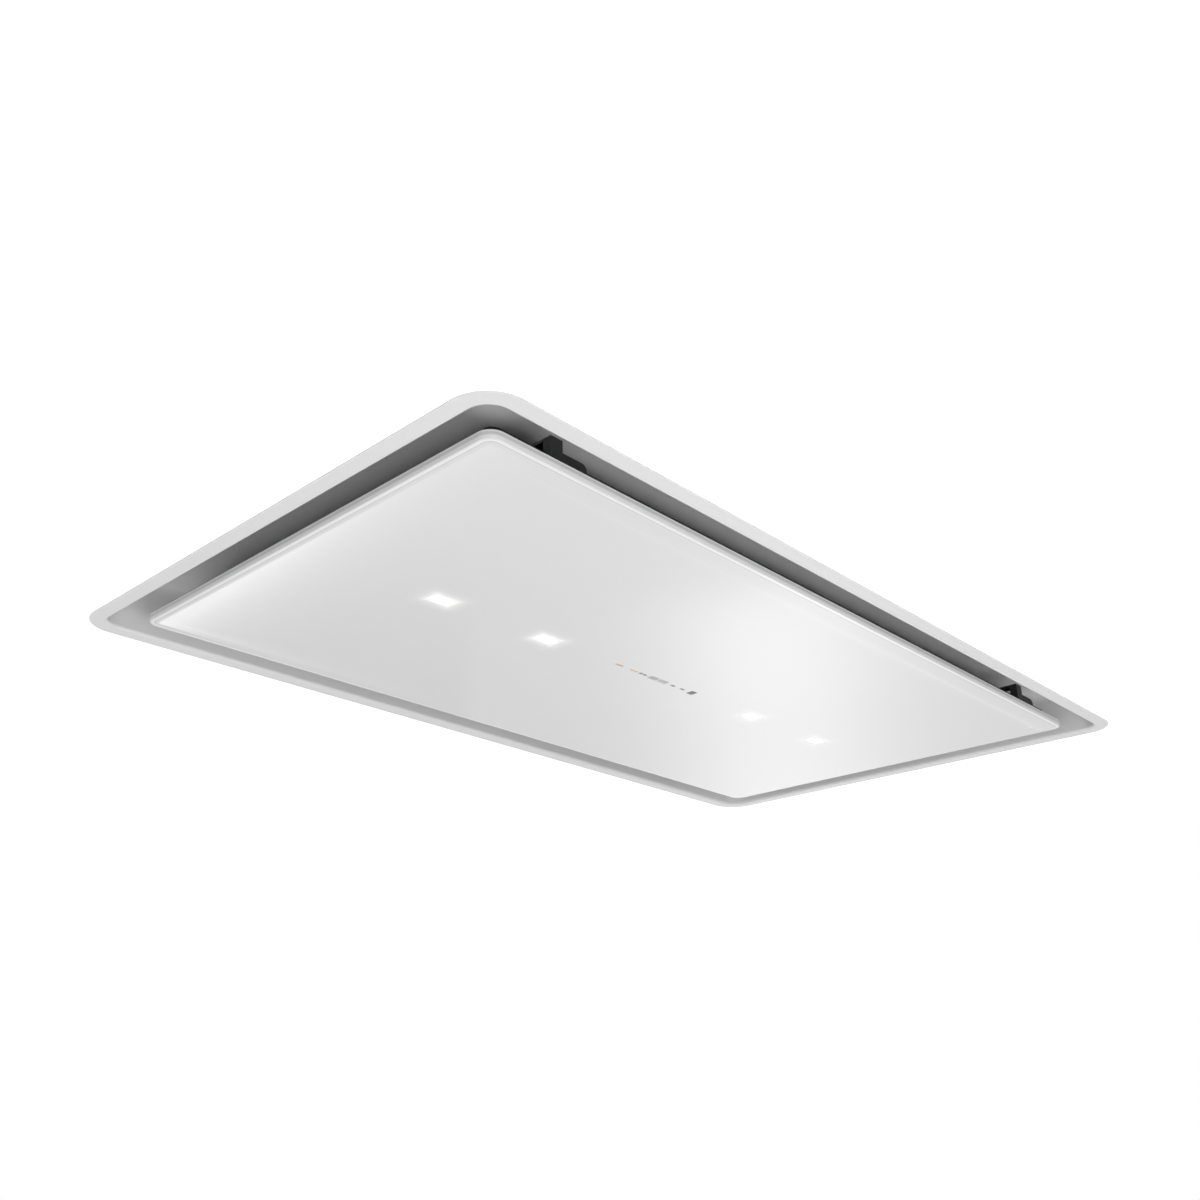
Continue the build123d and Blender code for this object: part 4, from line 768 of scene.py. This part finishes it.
def expanded_mat_tree():
    """Expanded metal: zigzag strands side by side, which meet and leave diamonds between."""
    tree = GrowTree("expanded_mat", [
        ("Columns", "Int", 48), ("Rows", "Int", 90),
        ("Diamond Length", "Float", 0.011), ("Diamond Width", "Float", 0.006),
        ("Strand", "Float", 0.001), ("Thickness", "Float", 0.0006),
        ("Notch Middle", "Vector", (0.0, 0.0, 0.0)), ("Notch Half", "Vector", (0.01, 0.01, 0.0))])
    entry = tree.entry
    step = entry.out("Diamond Length") * 0.5
    rise = entry.out("Diamond Width") * 0.5
    index = tree.node("GeometryNodeInputIndex")
    odd = index % 2
    line = tree.line(entry.out("Columns"), tree.vector(x=step))
    zigzag = tree.moved(line, tree.vector(y=(odd - 0.5) * rise))
    rows = tree.line(entry.out("Rows"), tree.vector(y=rise))
    shifted = tree.moved(rows, tree.vector(x=odd * step))
    strands = tree.node("GeometryNodeInstanceOnPoints", None, {
        "Points": shifted, "Instance": zigzag})
    whole = tree.node("GeometryNodeRealizeInstances", None, {0: strands})

    position = tree.node("GeometryNodeInputPosition")
    off_notch = tree.vector_math("SUBTRACT", position, entry.out("Notch Middle"))
    past_notch = tree.vector_math(
        "SUBTRACT", tree.vector_math("ABSOLUTE", off_notch), entry.out("Notch Half"))
    past = tree.node("ShaderNodeSeparateXYZ", None, {0: past_notch})
    in_notch = past.most(past.out("Y")).math("LESS_THAN", 0.0)
    kept = tree.node("GeometryNodeDeleteGeometry", {"domain": "POINT"}, {
        "Geometry": whole, "Selection": in_notch})

    paths = tree.node("GeometryNodeMeshToCurve", None, {"Mesh": kept})
    profile = tree.node("GeometryNodeCurvePrimitiveQuadrilateral", None, {
        "Width": entry.out("Strand"), "Height": entry.out("Thickness")})
    swept = tree.node("GeometryNodeCurveToMesh", None, {
        "Curve": paths, "Profile Curve": profile, "Fill Caps": True})
    return tree.close(swept)


# ---------------------------------------------------------------- operators
class HOOD_OT_camera(bpy.types.Operator):
    """Place the camera at the photograph's viewing angle, below the near long side"""
    bl_idname = "hood.camera"
    bl_label = "Camera"

    def execute(self, context):
        back = Vector((math.sin(CAMERA_AROUND) * math.cos(CAMERA_UP),
                       -math.cos(CAMERA_AROUND) * math.cos(CAMERA_UP), math.sin(CAMERA_UP)))
        right = (-back).cross(Vector((0.0, 0.0, 1.0))).normalized()
        top = right.cross(-back)
        turned_right = right * math.cos(CAMERA_ROLL) + top * math.sin(CAMERA_ROLL)
        turned_top = top * math.cos(CAMERA_ROLL) - right * math.sin(CAMERA_ROLL)
        axes = Matrix((turned_right, turned_top, back)).transposed()
        lens = bpy.data.cameras.new("camera")
        lens.sensor_width = CAMERA_SENSOR
        lens.lens = CAMERA_LENS
        lens.shift_x = CAMERA_SHIFT
        camera = linked("camera", lens)
        camera.matrix_world = Matrix.Translation(CAMERA_PLACE) @ axes.to_4x4()
        context.scene.camera = camera
        return {"FINISHED"}


class HOOD_OT_stage(bpy.types.Operator):
    """Add the floor, the ceiling board, the soft lamps, the screen and the white world"""
    bl_idname = "hood.stage"
    bl_label = "Stage"

    def execute(self, context):
        settings = context.scene.hood_stage
        self.light_world(context, settings)
        self.lay_floor(settings)
        self.hang_ceiling(settings)
        self.hang_lamps()
        self.stand_screen(context, settings)
        context.scene.view_settings.view_transform = "Standard"
        return {"FINISHED"}

    def seen(self, tree):
        """1 for light that reaches the camera straight, or by a mirror or a clear piece."""
        path = tree.node("ShaderNodeLightPath", output="Is Camera Ray")
        return path.most(path.out("Is Glossy Ray")).most(path.out("Is Transmission Ray"))

    def light_world(self, context, settings):
        """White where it is seen or mirrored, softer where it lights."""
        world = bpy.data.worlds.new("studio")
        context.scene.world = world
        world.use_nodes = True
        world.node_tree.nodes.clear()
        tree = Tree(world.node_tree)
        sky = tree.node("ShaderNodeBackground", None, {
            "Color": WHITE, "Strength": settings.sky + self.seen(tree) * (1.0 - settings.sky)})
        tree.node("ShaderNodeOutputWorld", None, {0: sky})

    def pale(self, name, tone, glow):
        """Pale surface that looks white and still takes the hood's shadow."""
        finish = Finish(name, Roughness=0.9, Specular_IOR_Level=0.1, Emission_Strength=1.0)
        finish.tint(finish.noise(scale=40.0), tone, 0.99, 1.01)
        shine = finish.blend(self.seen(finish), BLACK, (glow, glow, glow, 1.0))
        return finish.feed("Emission Color", shine).material

    def lay_floor(self, settings):
        mesh = bpy.data.meshes.new("floor")
        mesh.from_pydata([(x * FLOOR_REACH, y * FLOOR_REACH, settings.floor_drop)
                          for x, y in SQUARE], [], [(0, 1, 2, 3)])
        mesh.materials.append(self.pale("floor", settings.tone, FLOOR_GLOW))
        linked("floor", mesh)

    def hang_ceiling(self, settings):
        """Board with the hood's cut-out, white from below and pale from above."""
        length, width, thickness = settings.ceiling
        shape = bmesh.new()
        rings = []
        for z in (BOARD_BASE, thickness):
            for half_x, half_y in ((length / 2, width / 2), CUT_OUT_HALF):
                rings.append([shape.verts.new((x * half_x, y * half_y, z)) for x, y in SQUARE])
        outer_low, inner_low, outer_high, inner_high = rings
        for first, second, index in ((inner_low, outer_low, 0), (outer_high, inner_high, 1),
                                     (outer_low, outer_high, 0), (inner_high, inner_low, 0)):
            for side in range(4):
                after = (side + 1) % 4
                face = shape.faces.new((first[side], first[after], second[after], second[side]))
                face.material_index = index
        bmesh.ops.recalc_face_normals(shape, faces=shape.faces)
        mesh = bpy.data.meshes.new("ceiling_board")
        shape.to_mesh(mesh)
        shape.free()
        mesh.materials.append(self.pale("ceiling_below", settings.tone, BOARD_GLOW_BELOW))
        mesh.materials.append(self.pale("ceiling_above", settings.tone, BOARD_GLOW_ABOVE))
        linked("ceiling_board", mesh)

    def hang_lamps(self):
        for name, place, target, size, power, mirrored in STUDIO_LAMPS:
            light = bpy.data.lights.new(name, "AREA")
            light.shape = "RECTANGLE"
            light.size, light.size_y = size
            light.energy = power
            lamp = linked(name, light)
            lamp.location = place
            way = Vector(target) - Vector(place)
            lamp.rotation_euler = way.to_track_quat("-Z", "Y").to_euler()
            lamp.visible_camera = False
            lamp.visible_glossy = mirrored

    def stand_screen(self, context, settings):
        """Glowing screen beyond the hood, which the glass mirrors as a soft diagonal band."""
        eye = context.scene.camera.matrix_world.translation
        away = Vector((math.cos(settings.screen_way), math.sin(settings.screen_way), 0.0))
        across = Vector((-away.y, away.x, 0.0))
        finish = Finish("screen", Base_Color=BLACK, Specular_IOR_Level=0.0,
                        Emission_Strength=settings.screen_glow)
        x, y, z = finish.axes()
        off = (x * across.x + y * across.y - across.dot(eye)) / settings.screen_reach
        share = (-(off * off)).math("EXPONENT") * (
            SCREEN_LEAST + z.fade(*SCREEN_FADE) * SCREEN_GAIN)
        edge = 1.0 / settings.screen_glow
        finish.feed("Emission Color", finish.blend(share, (edge, edge, edge, 1.0), WHITE))

        middle = eye + away * SCREEN_DISTANCE
        left, right = (middle + across * side for side in (-SCREEN_HALF, SCREEN_HALF))
        corners = ((left, SCREEN_LOW), (right, SCREEN_LOW), (right, SCREEN_HIGH),
                   (left, SCREEN_HIGH))
        mesh = bpy.data.meshes.new("screen")
        mesh.from_pydata([(foot.x, foot.y, height) for foot, height in corners],
                         [], [(0, 1, 2, 3)])
        mesh.materials.append(finish.material)
        screen = linked("screen", mesh)
        screen.visible_camera = False


class HOOD_OT_finishes(bpy.types.Operator):
    """Give every piece of the frame the finish of its material slot"""
    bl_idname = "hood.finishes"
    bl_label = "Finishes"

    def execute(self, context):
        record = frame["record"]
        colours = {entry["slot"]: entry["base_color"] for entry in record["materials"]}
        made = {}
        for part in record["subparts"]:
            slot = part["material_slot"]
            if slot not in made:
                build, roughness = SLOT_FINISHES[slot]
                made[slot] = build(slot, colours[slot], roughness)
            mesh = frame["nodes"][part["node"]].data
            mesh.materials.clear()
            mesh.materials.append(made[slot])
        return {"FINISHED"}


class HOOD_OT_touch_marks(bpy.types.Operator):
    """Print the row of plain touch marks in the middle of the glass"""
    bl_idname = "hood.touch_marks"
    bl_label = "Touch Marks"

    def execute(self, context):
        settings = context.scene.hood_marks
        tree = bar_row_tree()
        finishes = {name: printed_mark("mark_" + name, getattr(settings, name), MARK_ROUGHNESS)
                    for name in ("grey", "warm", "dark")}
        meshes = []
        for x, y, count, pitch, length, width, tone in TOUCH_MARKS:
            place = Matrix.Translation((x, y, glass_low.z))
            meshes.append(grown("mark", tree, {
                "Count": count, "Pitch": pitch, "Length": length, "Width": width,
                "Thickness": settings.thickness, "Finish": finishes[tone]}, place))
        joined("touch_marks", meshes, "panel")
        return {"FINISHED"}


class HOOD_OT_filter_mats(bpy.types.Operator):
    """Lay two crossed layers of expanded aluminium in each grease filter"""
    bl_idname = "hood.filter_mats"
    bl_label = "Filter Mats"

    def execute(self, context):
        settings = context.scene.hood_mats
        tree = expanded_mat_tree()
        for side in ("left", "right"):
            node = frame["nodes"][f"filter_{side}_mesh"]
            low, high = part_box(f"filter_{side}_mesh")
            latch_low, latch_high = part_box(f"filter_{side}_latch")
            pocket_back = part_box(f"filter_{side}_spring")[1].y + settings.notch_room
            notch = (
                Vector((latch_low.x - settings.notch_room, low.y - NOTCH_OVERRUN, low.z)),
                Vector((latch_high.x + settings.notch_room, pocket_back, high.z)))
            layers = [self.layer(settings, tree, low, high, notch, turn, height,
                                 node.data.materials[0])
                      for turn, height in MAT_LAYERS]
            mat = joined(f"filter_{side}_mat", layers, "chassis")
            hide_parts(f"filter_{side}_mesh")
        return {"FINISHED"}

    def layer(self, settings, tree, low, high, notch, turn, height, finish):
        """One layer of expanded metal between two corners, open at the latch's notch."""
        span = high - low
        if turn:
            span = Vector((span.y, span.x, span.z))
        columns = int(span.x / (settings.diamond_length / 2))
        rows = int((span.y - settings.strand) / (settings.diamond_width / 2))
        start = Matrix.Translation((-columns * settings.diamond_length / 4,
                                    -(rows - 1) * settings.diamond_width / 4, 0.0))
        middle = Vector(((low.x + high.x) / 2, (low.y + high.y) / 2,
                         low.z + (high.z - low.z) * height))
        place = Matrix.Translation(middle) @ Matrix.Rotation(math.radians(turn), 4, "Z") @ start
        first, last = (place.inverted() @ corner for corner in notch)
        half = Vector(abs(first[axis] - last[axis]) / 2 for axis in range(3))
        return grown("mat", tree, {
            "Columns": columns, "Rows": rows, "Diamond Length": settings.diamond_length,
            "Diamond Width": settings.diamond_width, "Strand": settings.strand,
            "Notch Middle": (first + last) / 2, "Notch Half": half,
            "Thickness": STRAND_THICKNESS, "Finish": finish}, place)


class HOOD_OT_latch_springs(bpy.types.Operator):
    """Fit each filter's latch with a leaf spring: a copy of its spring piece with doubled points
    merged
    """
    bl_idname = "hood.latch_springs"
    bl_label = "Latch Springs"

    def execute(self, context):
        for side in ("left", "right"):
            node = frame["nodes"][f"filter_{side}_spring"]
            shape = bmesh.new()
            shape.from_mesh(node.data)
            bmesh.ops.remove_doubles(shape, verts=shape.verts, dist=MERGE_DISTANCE)
            mesh = bpy.data.meshes.new(f"filter_{side}_leaf")
            shape.to_mesh(mesh)
            shape.free()
            mesh.materials.clear()
            mesh.materials.append(node.data.materials[0])
            leaf = linked(f"filter_{side}_leaf", mesh)
            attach(leaf, "chassis")
            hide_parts(f"filter_{side}_spring")
            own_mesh(leaf)
        return {"FINISHED"}


class HOOD_OT_rivets(bpy.types.Operator):
    """Rivet the casing's top to its two end plates"""
    bl_idname = "hood.rivets"
    bl_label = "Rivets"

    def execute(self, context):
        settings = context.scene.hood_rivets
        tree = rivet_row_tree()
        finish = frame["nodes"]["casing_screws"].data.materials[0]
        start = -(settings.count - 1) * settings.pitch / 2
        meshes = []
        for x in (casing_low.x + RIVET_EDGE, casing_high.x - RIVET_EDGE):
            place = Matrix.Translation((x, start, casing_high.z - RIVET_SINK)) @ Matrix.Rotation(
                math.radians(90.0), 4, "Z")
            meshes.append(grown("rivets", tree, {
                "Count": settings.count, "Pitch": settings.pitch, "Radius": settings.radius,
                "Finish": finish}, place))
        joined("casing_rivets", meshes, "chassis")
        return {"FINISHED"}


class HOOD_PT_panel(bpy.types.Panel):
    """Sidebar list of the hood's steps and settings"""
    bl_idname = "HOOD_PT_panel"
    bl_label = "Ceiling Hood"
    bl_space_type = "VIEW_3D"
    bl_region_type = "UI"
    bl_category = "Hood"

    def draw(self, context):
        for step in STEPS:
            self.layout.operator(step.bl_idname)
        for label, group in SETTINGS.items():
            box = self.layout.box()
            for name in group.__annotations__:
                box.prop(getattr(context.scene, label), name)


SETTINGS = {
    "hood_glass": GlassSettings,
    "hood_lamps": LampSettings,
    "hood_marks": MarkSettings,
    "hood_mats": MatSettings,
    "hood_rivets": RivetSettings,
    "hood_stage": StageSettings,
}
STEPS = (HOOD_OT_camera, HOOD_OT_stage, HOOD_OT_finishes, HOOD_OT_touch_marks,
         HOOD_OT_filter_mats, HOOD_OT_latch_springs, HOOD_OT_rivets)


def register():
    for group in (*SETTINGS.values(), *STEPS, HOOD_PT_panel):
        bpy.utils.register_class(group)
    for name, group in SETTINGS.items():
        setattr(bpy.types.Scene, name, bpy.props.PointerProperty(type=group))


def unregister():
    for name in SETTINGS:
        delattr(bpy.types.Scene, name)
    for group in (HOOD_PT_panel, *STEPS, *SETTINGS.values()):
        bpy.utils.unregister_class(group)


def main():
    register()
    bpy.ops.hood.camera()
    bpy.ops.hood.stage()
    bpy.ops.hood.finishes()
    bpy.ops.hood.touch_marks()
    bpy.ops.hood.filter_mats()
    bpy.ops.hood.latch_springs()
    bpy.ops.hood.rivets()


if __name__ == "__main__":
    main()
